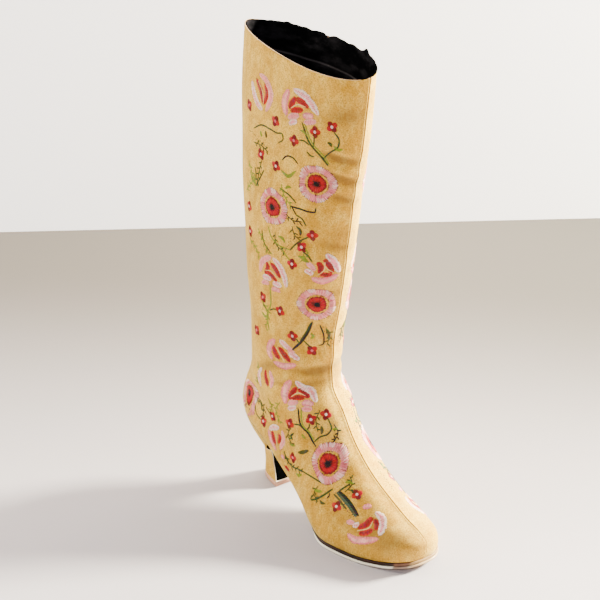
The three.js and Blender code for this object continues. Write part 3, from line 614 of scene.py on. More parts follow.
def make_suede():
    """The suede, folded over the collar and under the foot's edge."""
    distances, angles, arcs, zips, backs = upper_grid()
    base = surface(distances[:, None], angles)
    normals = grid_normals(base)
    rise, dark = relief(distances[:, None] + 0 * arcs, arcs, zips, backs)
    # Painted shade for the suede's colour: on the folds' flanks and in darker patches.
    painted_shade = painted_shade_of(distances[:, None] + 0 * arcs, arcs)
    points = base + normals * rise[..., None]
    flat = unit(normals * np.array([1, 1, 0]))
    rows = [points]
    marks = [dark]
    for k in range(1, RIM_STEPS + 1):
        turn = math.pi * k / RIM_STEPS
        ring = points[-1] + flat[-1] * RIM_RADIUS * (math.cos(turn) - 1)
        ring = ring + np.array([0, 0, RIM_RADIUS * math.sin(turn)])
        rows.append(ring[None])
        marks.append(dark[-1:])
    under = []
    for inward, drop in TURNED_UNDER:
        ring = points[0] - flat[0] * inward
        ring[:, 2] = points[0][:, 2] - drop
        under.append(ring[None])
        marks.insert(0, dark[:1])
    everything = np.concatenate(under + rows)
    count = everything.shape[1]
    first = len(TURNED_UNDER)
    gaps = np.concatenate([zips[:1]] * first + [zips] + [zips[-1:]] * RIM_STEPS)
    open_slot = np.abs(gaps) < SLOT_COLUMNS
    open_slot[:first + int(np.argmax(distances > ZIP_END))] = False
    open_slot = open_slot.ravel()
    quads = grid_faces(len(everything), count, flip=True)
    faces = [f for f in quads if not all(open_slot[i] for i in f)]
    suede = make_piece("upper_suede", everything.reshape(-1, 3), faces, SUEDE, "suede", ["upper"])
    # Seams and stitching drawn dark, with painted shade in the folds' troughs.
    set_values(suede, "seam", np.concatenate(marks).ravel())
    cut = np.zeros((len(everything), count))
    cut[1 - RIM_STEPS:-1] = 1
    set_values(suede, "cut_edge", cut.ravel())
    # The painted shade, carried over the turned-under rows and the rim.
    nap_and_shade = np.concatenate([painted_shade[:1]] * first + [painted_shade] + [painted_shade[-1:]] * RIM_STEPS)
    set_values(suede, "painted_shade", nap_and_shade.ravel())


def make_lining():
    """The lining, with a facing under the collar, soft waves and a ragged lip on the far side."""
    close = np.linspace(FACING_DROP - 4, FACING_DROP + 4, 9)
    distances = np.unique(np.concatenate([np.linspace(0, COLLAR, LINING_ROWS), COLLAR - close]))
    angles = np.linspace(0, 2 * math.pi, LINING_COLUMNS + 1)[:-1] + 1e-4
    shell = surface(distances[:, None], angles[None, :])
    shell_normals = grid_normals(shell)
    drop = COLLAR - distances[:, None] + 0 * angles[None]
    waves = 0.5 * np.sin(7 * angles + drop / 9) + 0.35 * np.sin(13 * angles - drop / 6 + 1)
    facing = smoothstep(drop, FACING_DROP + 2, FACING_DROP - 2) * 1.1
    facing = facing + waves * smoothstep(drop, 0, 12) * smoothstep(drop, 120, 30)
    facing = np.maximum(facing, 0) * (drop > 0)
    shell = shell - shell_normals * (WALL + 0.1 + facing[..., None])
    shell[0, :, 2] = edge_height(-shell[0, :, 1]) - 0.2
    inward = unit(shell_normals[-1] * np.array([1, 1, 0]))
    ragged = 0.35 * np.sin(9 * angles + 2) + 0.3 * np.sin(23 * angles) + 0.25 * np.sin(41 * angles + 1)
    far = smoothstep(-np.sin(angles), 0.1, 0.8)
    zip_top = float(zip_angle(COLLAR)[0])
    peak = sum(tall * bell(angles - zip_top - beyond, half) for tall, beyond, half in NOTCHES)
    lip = [shell]
    for out, up in LIP:
        row = shell[-1] + inward * out
        row[:, 2] += up * (0.2 + far * 1.2) + (1.2 * ragged * far + peak) * (up > 1)
        lip.append(row[None])
    shell = np.concatenate(lip)
    faces = grid_faces(len(shell), len(angles), flip=True)
    lining = make_piece("upper_lining", shell.reshape(-1, 3), faces, LINING, "lining", ["upper"])
    line = np.zeros((len(shell), len(angles)))
    line[:len(distances)] = bell(drop - FACING_DROP, 1.2)
    set_values(lining, "facing_edge", line.ravel())


make_suede()
make_lining()


# The sole: rings round the foot's edge, one on another, joined across at the top and the bottom
EDGE_FRONT, EDGE_BACK = float(LEVELS["front"][0]), float(LEVELS["back"][0])
BREAST_SHARE = (forward_of(BREAST_ALONG) - EDGE_BACK) / (EDGE_FRONT - EDGE_BACK)
TIP = 0.0004


def edge_ring(shares, margin):
    """The foot's lower outline, larger by margin, from the inner side round the toe to the outer side."""
    turn = np.arccos(1 - 2 * shares)
    angles = np.concatenate([2 * math.pi - turn, turn[::-1]])
    both = np.concatenate([shares, shares[::-1]])
    margins = margin(both) if callable(margin) else np.full(len(both), float(margin))
    return np.array([surface(0.0, a, m) for a, m in zip(angles, margins)])


def plate(name, material, slot, replaced, start, profile, margin, level, steps=96, inside=5):
    """A layer under the foot. profile is (in from the edge, height over level), from the top's edge down."""
    turns = np.linspace(math.acos(1 - 2 * start), math.acos(1 - 2 * (1 - TIP)), steps)
    shares = (1 - np.cos(turns)) / 2
    rings = []
    for inset, height in profile:
        ring = edge_ring(shares, lambda t: margin(t) - inset)
        ring[:, 2] = level(-ring[:, 1]) + height
        rings.append(ring)
    count = 2 * steps
    points = [r for ring in rings for r in ring]
    faces = []
    for r in range(len(rings) - 1):
        for c in range(count - 1):
            a = r * count + c
            faces.append((a, a + 1, a + count + 1, a + count))
    for ring, start_index, up in ((rings[0], 0, True), (rings[-1], (len(rings) - 1) * count, False)):
        rows = []
        for j in range(steps):
            left, right = ring[j], ring[count - 1 - j]
            row = [start_index + j]
            for k in range(1, inside + 1):
                p = left + (right - left) * k / (inside + 1)
                row.append(len(points))
                points.append(p)
            row.append(start_index + count - 1 - j)
            rows.append(row)
        for low, high in zip(rows[:-1], rows[1:]):
            for k in range(inside + 1):
                quad = (low[k], low[k + 1], high[k + 1], high[k])
                faces.append(quad if up else quad[::-1])
    ends = [r * count for r in range(len(rings))]
    faces.append(tuple(ends + [e + count - 1 for e in ends[::-1]]))
    return make_piece(name, points, faces, material, slot, [replaced])


def rounded(thickness, radius, steps=5):
    """A profile of an edge with both corners rounded, from the top down."""
    turns = np.linspace(0, math.pi / 2, steps)
    top = [(radius * (1 - math.sin(t)), -radius * (1 - math.cos(t))) for t in turns]
    return top + [(x, -thickness - y) for x, y in top[::-1]]


def waist_margin(tuck, margin):
    """How far a layer stands beyond the upper's edge: tucked in at the waist."""
    shares = [0, BREAST_SHARE + 0.03, 0.44, 0.54, 0.61, 0.67, 1]
    values = [-tuck * 0.5, -tuck, -tuck, -tuck * 0.55, 0, margin, margin]
    return lambda t: through(shares, values, t)


def under_rand(forward):
    return edge_height(forward) - EDGE_CLEARANCE - RAND_THICKNESS - CLEARANCE


rand = plate(
    "sole_rand", RAND_LEATHER, "brown_edge", "rand", BREAST_SHARE,
    rounded(RAND_THICKNESS, 0.7), waist_margin(RAND_TUCK, RAND_MARGIN),
    lambda forward: edge_height(forward) - EDGE_CLEARANCE,
)
outsole = plate(
    "sole_edge", SOLE_EDGE, "sole_leather", "outsole", BREAST_SHARE,
    rounded(OUTSOLE_THICKNESS, 1.1), waist_margin(OUTSOLE_TUCK, OUTSOLE_MARGIN),
    under_rand,
)

# Where the sole's edge is marked at the toe: share of the length, on the outer side and the inner side
WORN_OUTER, TAN_INNER = 0.955, 0.84
INNER_FROM = -10  # across: past this, towards the inner side, the marks start sooner


def mark_wear_and_highlight(piece):
    """Marks the edge brown on the outer side, and tan at the toe and round it: wear on the cream edge; on
    the dark rand the tan is also a painted highlight where the light falls.
    """
    points = np.array([v.co for v in piece.data.vertices]) / MM
    share = (-points[:, 1] - EDGE_BACK) / (EDGE_FRONT - EDGE_BACK)
    inner = points[:, 0] > INNER_FROM
    brown = smoothstep(share, WORN_OUTER - 0.004, WORN_OUTER + 0.004) * ~inner
    inner_toe_mark = smoothstep(share, TAN_INNER - 0.1, TAN_INNER + 0.05)
    tan = np.where(inner, inner_toe_mark, smoothstep(share, 0.985, 1.0))
    set_values(piece, "brown", np.clip(brown * (1 - tan), 0, 1))
    set_values(piece, "tan", tan)


mark_wear_and_highlight(rand)
mark_wear_and_highlight(outsole)

# The heel
SEAT_LEFT = surface(0.0, 2 * math.pi - math.acos(1 - 2 * BREAST_SHARE))
SEAT_RIGHT = surface(0.0, math.acos(1 - 2 * BREAST_SHARE))
SEAT_HALF = (SEAT_LEFT[0] - SEAT_RIGHT[0]) / 2
SEAT_MIDDLE = (SEAT_LEFT[0] + SEAT_RIGHT[0]) / 2
SEAT_BREAST = forward_of(BREAST_ALONG) - CLEARANCE
HEEL_BOTTOM = TOP_PIECE_THICKNESS + CLEARANCE
HEEL_SHARES = [0, 0.1, 0.24, 0.42, 0.62, 0.8, 1]
HEEL_BACK = [
    EDGE_BACK, -SEAT_SETBACK * 0.85, -SEAT_SETBACK * 0.69, -NECK_LENGTH * 0.8, -NECK_LENGTH * 0.64,
    -NECK_LENGTH * 0.61, -TOP_PIECE_LENGTH * 0.5,
]
HEEL_BREAST = [
    SEAT_BREAST, SEAT_BREAST * 0.84, NECK_LENGTH * 0.53, NECK_LENGTH * 0.34, NECK_LENGTH * 0.31,
    NECK_LENGTH * 0.385, TOP_PIECE_LENGTH * 0.48,
]
HEEL_HALF = [
    SEAT_HALF, SEAT_HALF * 0.95, SEAT_HALF * 0.76, NECK_WIDTH * 0.56, NECK_WIDTH * 0.5, NECK_WIDTH * 0.52,
    TOP_PIECE_WIDTH * 0.5,
]
HEEL_ARC, HEEL_ROWS = 64, 46
CUT_EDGE_FROM = 0.17  # share of the way down from the seat, past which the cover's cut edge shows
BREAST_ROWS, BREAST_COLUMNS = 40, 9
# The tread's rings: how far each stands beyond the heel's outline, and its height
TREAD_RINGS = ((-1.3, 0), (-0.6, 0.12), (-0.15, 0.5), (0, 1.1), (0.05, 3), (0, 5), (-0.25, 5.5))


def seat_outline():
    """The seat from the inner breast corner round the back, as shares of its depth and half width."""
    last = math.acos(1 - 2 * BREAST_SHARE)
    turns = last * (1 - 2 * np.arange(HEEL_ARC + 1) / HEEL_ARC)
    points = surface(0.0, np.where(turns > 0, 2 * math.pi - turns, -turns))
    aft = (-points[:, 1] - EDGE_BACK) / (forward_of(BREAST_ALONG) - EDGE_BACK)
    return aft, (points[:, 0] - SEAT_MIDDLE) / SEAT_HALF


AFT, ACROSS = seat_outline()


def heel_ring(share, margin=0.0):
    back = float(through(HEEL_SHARES, HEEL_BACK, share)[0]) - margin
    breast = float(through(HEEL_SHARES, HEEL_BREAST, share)[0]) + margin
    half = float(through(HEEL_SHARES, HEEL_HALF, share)[0]) + margin
    forward = back + (breast - back) * AFT
    seat = edge_height(EDGE_BACK + (SEAT_BREAST - EDGE_BACK) * AFT) - EDGE_CLEARANCE
    height = seat * (1 - share) + HEEL_BOTTOM * share
    return np.stack([SEAT_MIDDLE * (1 - share) + ACROSS * half, -forward, height], axis=-1)


def make_heel():
    """The covered heel; its breast face shows the cut edge of the cover round the black breast."""
    shares = np.linspace(0, 1, HEEL_ROWS)
    rings = [heel_ring(s) for s in shares]
    count = len(rings[0])
    points = np.concatenate(rings)
    faces, breast = [], []
    for r in range(len(rings) - 1):
        for c in range(count - 1):
            a = r * count + c
            faces.append((a, a + 1, a + count + 1, a + count))
        faces.append((r * count + count - 1, r * count, (r + 1) * count, (r + 1) * count + count - 1))
        breast.append(len(faces) - 1)
    faces.append(tuple(range(count)))
    faces.append(tuple(range((len(rings) - 1) * count, len(rings) * count))[::-1])
    heel = make_piece("heel_cover", points, faces, SUEDE, "suede", ["heel"])
    heel.data.materials.append(SOLE_EDGE)
    for share, i in zip(shares, breast):
        heel.data.polygons[i].material_index = 1 if share > CUT_EDGE_FROM else 0
        heel.data.polygons[i].use_smooth = False
    heel.data.polygons[len(faces) - 1].use_smooth = False


def make_breast():
    """The black facing on the heel's breast, a little domed."""
    rows, columns = BREAST_ROWS, BREAST_COLUMNS
    points = []
    for share in np.linspace(0.03, 0.98, rows):
        ring = heel_ring(share)
        left, right = ring[0], ring[-1]
        inset = min(BREAST_COVER_INSET, (left[0] - right[0]) / 4)
        for k in range(columns):
            across = (left[0] - inset) + (right[0] - left[0] + 2 * inset) * k / (columns - 1)
            dome = CLEARANCE + BREAST_COVER_THICKNESS * (1 - abs(2 * k / (columns - 1) - 1) ** 4)
            points.append((across, left[1] - dome, left[2]))
    faces = grid_faces(rows, columns, closed=False, flip=True)
    make_piece("heel_breast", points, faces, BLACK_LEATHER, "black_leather", ["breast_cover"])


def make_top_piece():
    """The tread under the heel, rounded below and let in a little at the top."""
    rings = []
    for margin, height in TREAD_RINGS:
        ring = heel_ring(1, margin)
        ring[:, 2] = height
        rings.append(ring)
    count = len(rings[0])
    faces = grid_faces(len(rings), count, flip=True)
    faces.append(tuple(range(count)))
    faces.append(tuple(range((len(rings) - 1) * count, len(rings) * count))[::-1])
    points = np.concatenate(rings)
    piece = make_piece("heel_top_piece", points, faces, TREAD_LEATHER, "tread_leather", ["top_piece"])
    for i in (len(faces) - 1, len(faces) - 2):
        piece.data.polygons[i].use_smooth = False


make_heel()
make_breast()
make_top_piece()


# The skin's map: u is millimetres up the front from the toe's edge, v millimetres round from the front seam
# (less than 0 on the outer side). Embroidery is laid out on it, so it follows the suede.
class SkinMap:
    STEP, REACH = 1.6, 290.0

    def __init__(self):
        self.us = np.arange(0, COLLAR + self.STEP, self.STEP).clip(0, COLLAR)
        self.vs = np.arange(-self.REACH, self.REACH + self.STEP, self.STEP)
        outer_angles, outer_arcs = arcs_of(self.us, -1)
        inner_angles, inner_arcs = arcs_of(self.us, 1)
        rows = []
        for r in range(len(self.us)):
            turn = np.where(
                self.vs < 0,
                np.interp(-self.vs, outer_arcs[r], outer_angles),
                np.interp(self.vs, inner_arcs[r], inner_angles),
            )
            rows.append(turn)
        angles = np.array(rows)
        base = surface(self.us[:, None], angles)
        normals = unit(np.cross(np.gradient(base, axis=1), np.gradient(base, axis=0)))
        self.zip_arc = np.array([
            np.interp(zip_angle(u)[0], inner_angles, inner_arcs[r]) for r, u in enumerate(self.us)
        ])
        arc = np.repeat(self.vs[None], len(self.us), axis=0)
        far = np.full_like(arc, NO_ZIP)
        rise, _ = relief(self.us[:, None] + 0 * arc, arc, far, far)
        rise = rise + SEAM_GROOVE * bell(arc, GROOVE_HALF)
        outward = np.sign(np.sum(normals * (base - base.mean(axis=1, keepdims=True)), axis=-1).mean())
        self.normals = normals * outward
        self.points = base + self.normals * rise[..., None]
        self.du = np.gradient(self.points, axis=0) / self.STEP
        self.dv = np.gradient(self.points, axis=1) / self.STEP

    def read(self, table, u, v):
        r = np.clip(np.asarray(u, float) / self.STEP, 0, len(self.us) - 1.001)
        c = np.clip((np.asarray(v, float) - self.vs[0]) / self.STEP, 0, len(self.vs) - 1.001)
        i, j = r.astype(int), c.astype(int)
        a, b = (r - i)[..., None], (c - j)[..., None]
        low = table[i, j] * (1 - b) + table[i, j + 1] * b
        high = table[i + 1, j] * (1 - b) + table[i + 1, j + 1] * b
        return low * (1 - a) + high * a

    def place(self, u, v):
        return self.read(self.points, u, v)

    def normal(self, u, v):
        return unit(self.read(self.normals, u, v))

    def steps_for(self, u, v, move):
        """The change of u and v that moves a point of the skin by a vector along it."""
        a, b = self.read(self.du, u, v), self.read(self.dv, u, v)
        aa, bb, ab = (a * a).sum(-1), (b * b).sum(-1), (a * b).sum(-1)
        am, bm = (a * move).sum(-1), (b * move).sum(-1)
        det = aa * bb - ab * ab
        return (am * bb - bm * ab) / det, (bm * aa - am * ab) / det


skin_map = SkinMap()

# The camera, by the photograph: azimuth, elevation and roll in degrees, millimetres, and pixels of its 600
AZIMUTH, ELEVATION, ROLL = math.radians(-40.437), math.radians(23.96), math.radians(1.779)
CAMERA_DISTANCE, TARGET_RIGHT, TARGET_UP = 1800, 14.717, 187.862
FOCAL_PIXELS, FRAME_PIXELS, SENSOR = 1925.644, 600, 36

toward = np.array([
    math.sin(AZIMUTH) * math.cos(ELEVATION), -math.cos(AZIMUTH) * math.cos(ELEVATION), math.sin(ELEVATION),
])
level_right = np.array([math.cos(AZIMUTH), math.sin(AZIMUTH), 0])
level_up = np.cross(toward, level_right)
view_right = level_right * math.cos(ROLL) + level_up * math.sin(ROLL)
view_up = level_up * math.cos(ROLL) - level_right * math.sin(ROLL)
eye = TARGET_RIGHT * level_right + np.array([0, 0, TARGET_UP]) + toward * CAMERA_DISTANCE


def ray(px, py):
    """The direction of the camera's ray through a pixel of the photograph."""
    half = FRAME_PIXELS / 2
    way = -toward * FOCAL_PIXELS + view_right * (px - half) + view_up * (half - py)
    return way / np.linalg.norm(way)


def skin_tree():
    rows, columns = skin_map.points.shape[:2]
    faces = grid_faces(rows, columns, closed=False)
    return BVHTree.FromPolygons(skin_map.points.reshape(-1, 3).tolist(), faces)


TREE = skin_tree()
SKIN_COLUMNS = skin_map.points.shape[1]
RAY_REACH = 4000


def spot(px, py):
    """Where a pixel's ray meets the skin, as (u, v); None off it."""
    hit, _, face, _ = TREE.ray_cast(Vector(eye), Vector(ray(px, py)), RAY_REACH)
    if hit is None:
        return None
    row, column = divmod(face, SKIN_COLUMNS - 1)
    u, v = (row + 0.5) * skin_map.STEP, skin_map.vs[0] + (column + 0.5) * skin_map.STEP
    for _ in range(3):
        gap = np.array(hit) - skin_map.place(u, v)
        du, dv = skin_map.steps_for(u, v, gap)
        u, v = float(u + du), float(v + dv)
    return u, v


# Embroidery: satin stitches, each a small raised strip of thread on the suede
COLORS = {name: srgb(code) for name, code in dict(
    red="#b81008", deep="#780606", orange="#c42410", pink="#e87f86", blush="#efa89c", white="#fbded0",
    cream="#eecb80", olive="#4c4a0e", green="#38460c", lime="#7f8c1c", dark="#141c06", grey="#46543a",
    crimson="#c00818", dusk="#d2626e", core="#060304", shade="#5a3212",
).items()}
STITCH_SHARES = np.array([0, 0.18, 0.82, 1])
STITCH_HEIGHTS = np.array([-0.06, 1, 1, -0.06])
STITCH_WIDTHS = np.array([0.55, 1, 1, 0.55])
STITCH_EDGES = np.array([0, 0.6, 0.6, 0])
STITCH_SUNK = 0.08  # how far a strip's long edges lie in the suede
STITCH_POINTS = 12
EDGE_GAP = 1.5  # no stitch ends nearer to the foot's edge than this
rng = np.random.default_rng(7)


class Embroidery:
    """Stitches by motif, as ends (u, v) on the skin's map."""

    def __init__(self):
        self.ends, self.sizes, self.colors, self.motifs = [], [], [], []
        self.motif = 0

    def add(self, a, b, width, rise, lift, color, vary=0.1):
        count = len(a)
        self.ends.append(np.concatenate([a, b], axis=1))
        self.sizes.append(np.stack(np.broadcast_arrays(width, rise, lift, np.zeros(count))[:3], axis=1))
        base = np.array(COLORS[color])[None] * (1 + vary * rng.standard_normal((count, 1)))
        self.colors.append(np.clip(base + 0.02 * rng.standard_normal((count, 3)), 0.004, 1))
        self.motifs.append(np.full(count, self.motif))

    def arrays(self):
        rows = (self.ends, self.sizes, self.colors, self.motifs)
        ends, sizes, colors, motifs = (np.concatenate(row) for row in rows)
        on = ends[:, [0, 2]].min(axis=1) > EDGE_GAP
        return ends[on], sizes[on], colors[on], motifs[on]


work = Embroidery()


def along_path(points, step):
    """A smooth line through points (u, v), read at even steps on the skin."""
    p = np.array(points, float)
    if len(p) == 2:
        p = np.array([p[0], (p[0] + p[1]) / 2, p[1]])
    places = skin_map.place(p[:, 0], p[:, 1])
    run = np.concatenate([[0], np.cumsum(np.linalg.norm(np.diff(places, axis=0), axis=1) + 1e-6)])
    slopes = np.stack([np.gradient(p[:, k], run) for k in range(2)], axis=1)
    s = np.linspace(0, run[-1], max(3, int(round(run[-1] / step)) + 1))
    i = np.clip(np.searchsorted(run, s, side="right") - 1, 0, len(p) - 2)
    h = (run[i + 1] - run[i])[:, None]
    t = (s - run[i])[:, None] / h
    return (
        p[i] * (1 + 2 * t) * (1 - t) ** 2 + p[i + 1] * t * t * (3 - 2 * t)
        + slopes[i] * h * t * (1 - t) ** 2 + slopes[i + 1] * h * t * t * (t - 1)
    )


def moved(centre, move):
    du, dv = skin_map.steps_for(centre[:, 0], centre[:, 1], move)
    return np.stack([centre[:, 0] + du, centre[:, 1] + dv], axis=1)


WIDTHS = dict(
    even=lambda s: (1 - np.abs(2 * s - 1) ** 6) ** 0.5 * 0.9 + 0.1,
    lens=lambda s: np.sin(np.pi * s) ** 0.75 * 0.95 + 0.05,
    blunt=lambda s: np.sqrt(np.clip(1 - np.abs(2 * s - 1) ** 3, 0, 1)) * 0.9 + 0.1,
)


def pixels(points):
    """Points of the photograph as places on the skin; the ones off the boot are left out."""
    return [uv for uv in (spot(*p) for p in points) if uv is not None]


def band(at, thread, wide, shape="blunt", slant=25, ragged=0.1, pitch=0.5, lift=0.1, rise=0.34, vary=0.1):
    """Satin stitches across a line of pixels, wide millimetres at the widest."""
    points = at if isinstance(at, np.ndarray) else pixels(at)
    if len(points) < 2:
        return
    centre = along_path(points, pitch)
    places = skin_map.place(centre[:, 0], centre[:, 1])
    tangent = unit(np.gradient(places, axis=0))
    normal = skin_map.normal(centre[:, 0], centre[:, 1])
    side = unit(np.cross(normal, tangent))
    share = np.linspace(0, 1, len(centre))
    half = (wide / 2 * WIDTHS[shape](share))[:, None]
    turn = math.radians(slant)
    way = side * math.cos(turn) + tangent * math.sin(turn)
    count = len(centre)
    far = 1 + ragged * rng.uniform(-1, 1, (2, count, 1))
    a, b = moved(centre, -way * half * far[0]), moved(centre, way * half * far[1])
    work.add(a, b, pitch * 1.5, rise, lift, thread, vary)


def frame_at(centre):
    """Along the skin at a place: the picture's right and up."""
    u, v = np.array([centre[0]]), np.array([centre[1]])
    normal = skin_map.normal(u, v)[0]
    up = unit(view_up - normal * np.dot(view_up, normal))
    return np.cross(up, normal), up


def polar(centre, angles, radii, rx, ry, tilt):
    """Places round a centre, by angle and share of an ellipse's half axes in millimetres."""
    right, up = frame_at(centre)
    turn = math.radians(tilt)
    x, y = radii * rx * np.cos(angles), radii * ry * np.sin(angles)
    across, along = x * math.cos(turn) - y * math.sin(turn), x * math.sin(turn) + y * math.cos(turn)
    base = np.repeat(np.array([centre], float), len(x), axis=0)
    return moved(base, across[:, None] * right + along[:, None] * up)


def ring(
    centre, rx, ry, tilt, inner, outer, thread,
    pitch=0.55, ragged=0.1, lift=0.1, rise=0.34, lean=0.0, vary=0.1, keep=1.0,
):
    """Stitches from one share of an ellipse to another; keep under 1 leaves them in clumps."""
    reach = (rx + ry) / 2
    count = max(6, int(2 * math.pi * reach * outer / pitch))
    angles = np.linspace(0, 2 * math.pi, count, endpoint=False) + 0.02 * rng.standard_normal(count)
    if keep < 1:
        clumps = 0.5 * np.sin(5 * angles + rng.uniform(0, 6)) + 0.4 * np.sin(9 * angles + rng.uniform(0, 6))
        clumps = clumps + 0.35 * rng.standard_normal(count)
        angles = angles[clumps > np.quantile(clumps, 1 - keep)]
    count = len(angles)
    low = inner + ragged * rng.uniform(-0.5, 0.5, count)
    phase = 1.7 * work.motif
    wobble = 1 + 0.035 * np.sin(3 * angles + phase) + 0.025 * np.sin(5 * angles + 2 * phase)
    high = (outer + ragged * rng.uniform(-1, 0.35, count)) * wobble
    a = polar(centre, angles, low, rx, ry, tilt)
    b = polar(centre, angles + lean, high, rx, ry, tilt)
    work.add(a, b, pitch * 1.45, rise, lift, thread, vary)


def disc(centre, rx, ry, tilt, thread, pitch=0.5, lift=0.12, rise=0.4, vary=0.08):
    """Side by side stitches that fill an ellipse."""
    count = max(3, int(2 * ry / pitch))
    offsets = (np.arange(count) + 0.5) / count * 2 - 1
    reach = np.sqrt(1 - offsets ** 2) * (1 + 0.06 * rng.standard_normal(count))
    angle_a, angle_b = np.arctan2(offsets, -reach), np.arctan2(offsets, reach)
    radius = np.hypot(offsets, reach)
    a = polar(centre, angle_a, radius, rx, ry, tilt)
    b = polar(centre, angle_b, radius, rx, ry, tilt)
    work.add(a, b, pitch * 1.5, rise, lift, thread, vary)


STEM_SCALE = 1.75  # stems and leaves, over the widths that were read from the photograph
PETAL_SCALE, PALE_SCALE = 1.28, 1.16
EYE_SCALE = 1.84


def new_motif():
    work.motif += 1


def blossom(at, wide, tall, tilt=0, heart=9.0, core=2.8):
    """A round blossom: ragged rings of pink and white, a gap, a red heart and a dark core. Sizes in mm."""
    centre = spot(*at)
    if centre is None:
        return
    new_motif()
    rx, ry = wide / 2, tall / 2
    eye_share = heart / (rx + ry) * EYE_SCALE
    ring(centre, rx, ry, tilt, 0.72, 1.03, "shade", ragged=0.03, lift=0.0, pitch=0.8, rise=0.1)
    ring(centre, rx, ry, tilt, 0.62, 0.98, "pink", ragged=0.06, lift=0.12, pitch=0.4, vary=0.1)
    ring(centre, rx, ry, tilt, 0.62, 0.95, "blush", ragged=0.08, lift=0.2, lean=0.03, pitch=0.42, keep=0.42)
    ring(centre, rx, ry, tilt, 0.74, 0.99, "white", ragged=0.07, lift=0.24, lean=0.04, pitch=0.42, keep=0.3)
    ring(centre, rx, ry, tilt, 0.68, 0.92, "dusk", ragged=0.12, lift=0.26, lean=-0.05, pitch=0.5, keep=0.3)
    ring(centre, rx, ry, tilt, 0.57, 0.65, "shade", ragged=0.06, lift=0.08, pitch=1.5, rise=0.12, keep=0.35)
    ring(centre, rx, ry, tilt, eye_share - 0.1, eye_share + 0.04, "deep", ragged=0.05, lift=0.2, pitch=0.7)
    core_share = core / (rx + ry)
    ring(centre, rx, ry, tilt, core_share, eye_share, "crimson", ragged=0.05, lift=0.28, pitch=0.42)
    ring(centre, rx, ry, tilt, core_share * 1.2, eye_share * 0.7, "deep", ragged=0.2, lift=0.36, pitch=1.1)
    ring(centre, rx, ry, tilt, 0.02, core_share * 3.0, "core", ragged=0.12, lift=0.46, pitch=0.3)
    disc(centre, core * 0.75, core * 0.7, tilt, "core", lift=0.55)


def small_flower(at, size=10.5, turn=0.0, heart="white"):
    """Four short petals round a pale knot."""
    centre = spot(*at)
    if centre is None:
        return
    new_motif()
    for k in range(4):
        angle = np.array([math.radians(turn + 45 + 90 * k)])
        petal = tuple(polar(centre, angle, np.array([0.5]), size / 2, size / 2, 0)[0])
        thread = "red" if k % 2 else "deep"
        disc(petal, size * 0.29, size * 0.23, turn + 45 + 90 * k, thread, 0.5, 0.14, 0.36)
    disc(centre, size * 0.14, size * 0.13, 0, heart, 0.4, 0.45, 0.3)


def stem(at, thread="green", wide=1.2, shape="even", lift=0.08):
    wide = wide * STEM_SCALE
    band(at, thread, wide, shape, slant=52, ragged=0.05, pitch=0.62, lift=lift, rise=0.34, vary=0.16)


def leaf(at, thread="lime", wide=2.4, shape="lens"):
    band(at, thread, wide * STEM_SCALE, shape, slant=38, ragged=0.12, pitch=0.55, lift=0.14, vary=0.14)


def fern(at, thread="lime", size=3.4, pitch=3.0, wide=1.0):
    """A stem with short leaves on both sides of it."""
    points = pixels(at)
    if len(points) < 2:
        return
    line = along_path(points, 0.6)
    band(line, thread, wide * 1.3, "even", slant=52, ragged=0.05, pitch=0.62, lift=0.08, vary=0.16)
    places = skin_map.place(line[:, 0], line[:, 1])
    tangent = unit(np.gradient(places, axis=0))
    side = unit(np.cross(skin_map.normal(line[:, 0], line[:, 1]), tangent))
    step = max(2, int(pitch / 0.6))
    for number, i in enumerate(range(step, len(line) - 1, step)):
        way = tangent[i] * 0.75 + side[i] * (1 if number % 2 else -1)
        reach = size * (0.75 + 0.5 * rng.uniform())
        ends = np.repeat(line[i:i + 1], 3, axis=0)
        leaf_line = moved(ends, np.outer([0.1, 0.55, 1.0], way * reach))
        band(leaf_line, thread, wide * 1.7, "lens", slant=35, ragged=0.1, pitch=0.55, lift=0.12, vary=0.16)


def dots(at, thread="olive", size=1.3, pitch=2.2, spread=1.6):
    """Seed stitches scattered along a line."""
    points = pixels(at)
    if len(points) < 2:
        return
    line = along_path(points, pitch)
    count = len(line)
    places = skin_map.place(line[:, 0], line[:, 1])
    tangent = unit(np.gradient(places, axis=0))
    side = unit(np.cross(skin_map.normal(line[:, 0], line[:, 1]), tangent))
    middle = moved(line, side * rng.uniform(-spread, spread, (count, 1)))
    way = tangent * rng.uniform(-1, 1, (count, 1)) + side * rng.uniform(-1, 1, (count, 1))
    way = unit(way) * size / 2
    work.add(moved(middle, -way), moved(middle, way), 0.9, 0.3, 0.08, thread, 0.2)


OVER_THREAD = dict(pink="blush", white="pink", blush="pink", red="deep", orange="deep")


def petals(*rows):
    """Satin petals, with a loose second thread over each and a shaded edge under the pale ones."""
    for thread, wide, at in rows:
        if thread in ("pink", "white", "blush"):
            wide = wide * PALE_SCALE
            band(at, "shade", wide * PETAL_SCALE + 1.0, "blunt", ragged=0.05, pitch=0.8, lift=0.0, rise=0.12)
        over = OVER_THREAD[thread]
        band(at, over, wide * 0.8, "lens", slant=26, ragged=0.4, pitch=1.7, lift=0.34, rise=0.3)
        band(at, thread, wide * PETAL_SCALE, "blunt", slant=18, ragged=0.14, pitch=0.5, lift=0.14, rise=0.4)


def veins(*rows):
    for at in rows:
        band(at, "cream", 0.9, "even", slant=60, ragged=0.05, pitch=0.7, lift=0.5, rise=0.3)


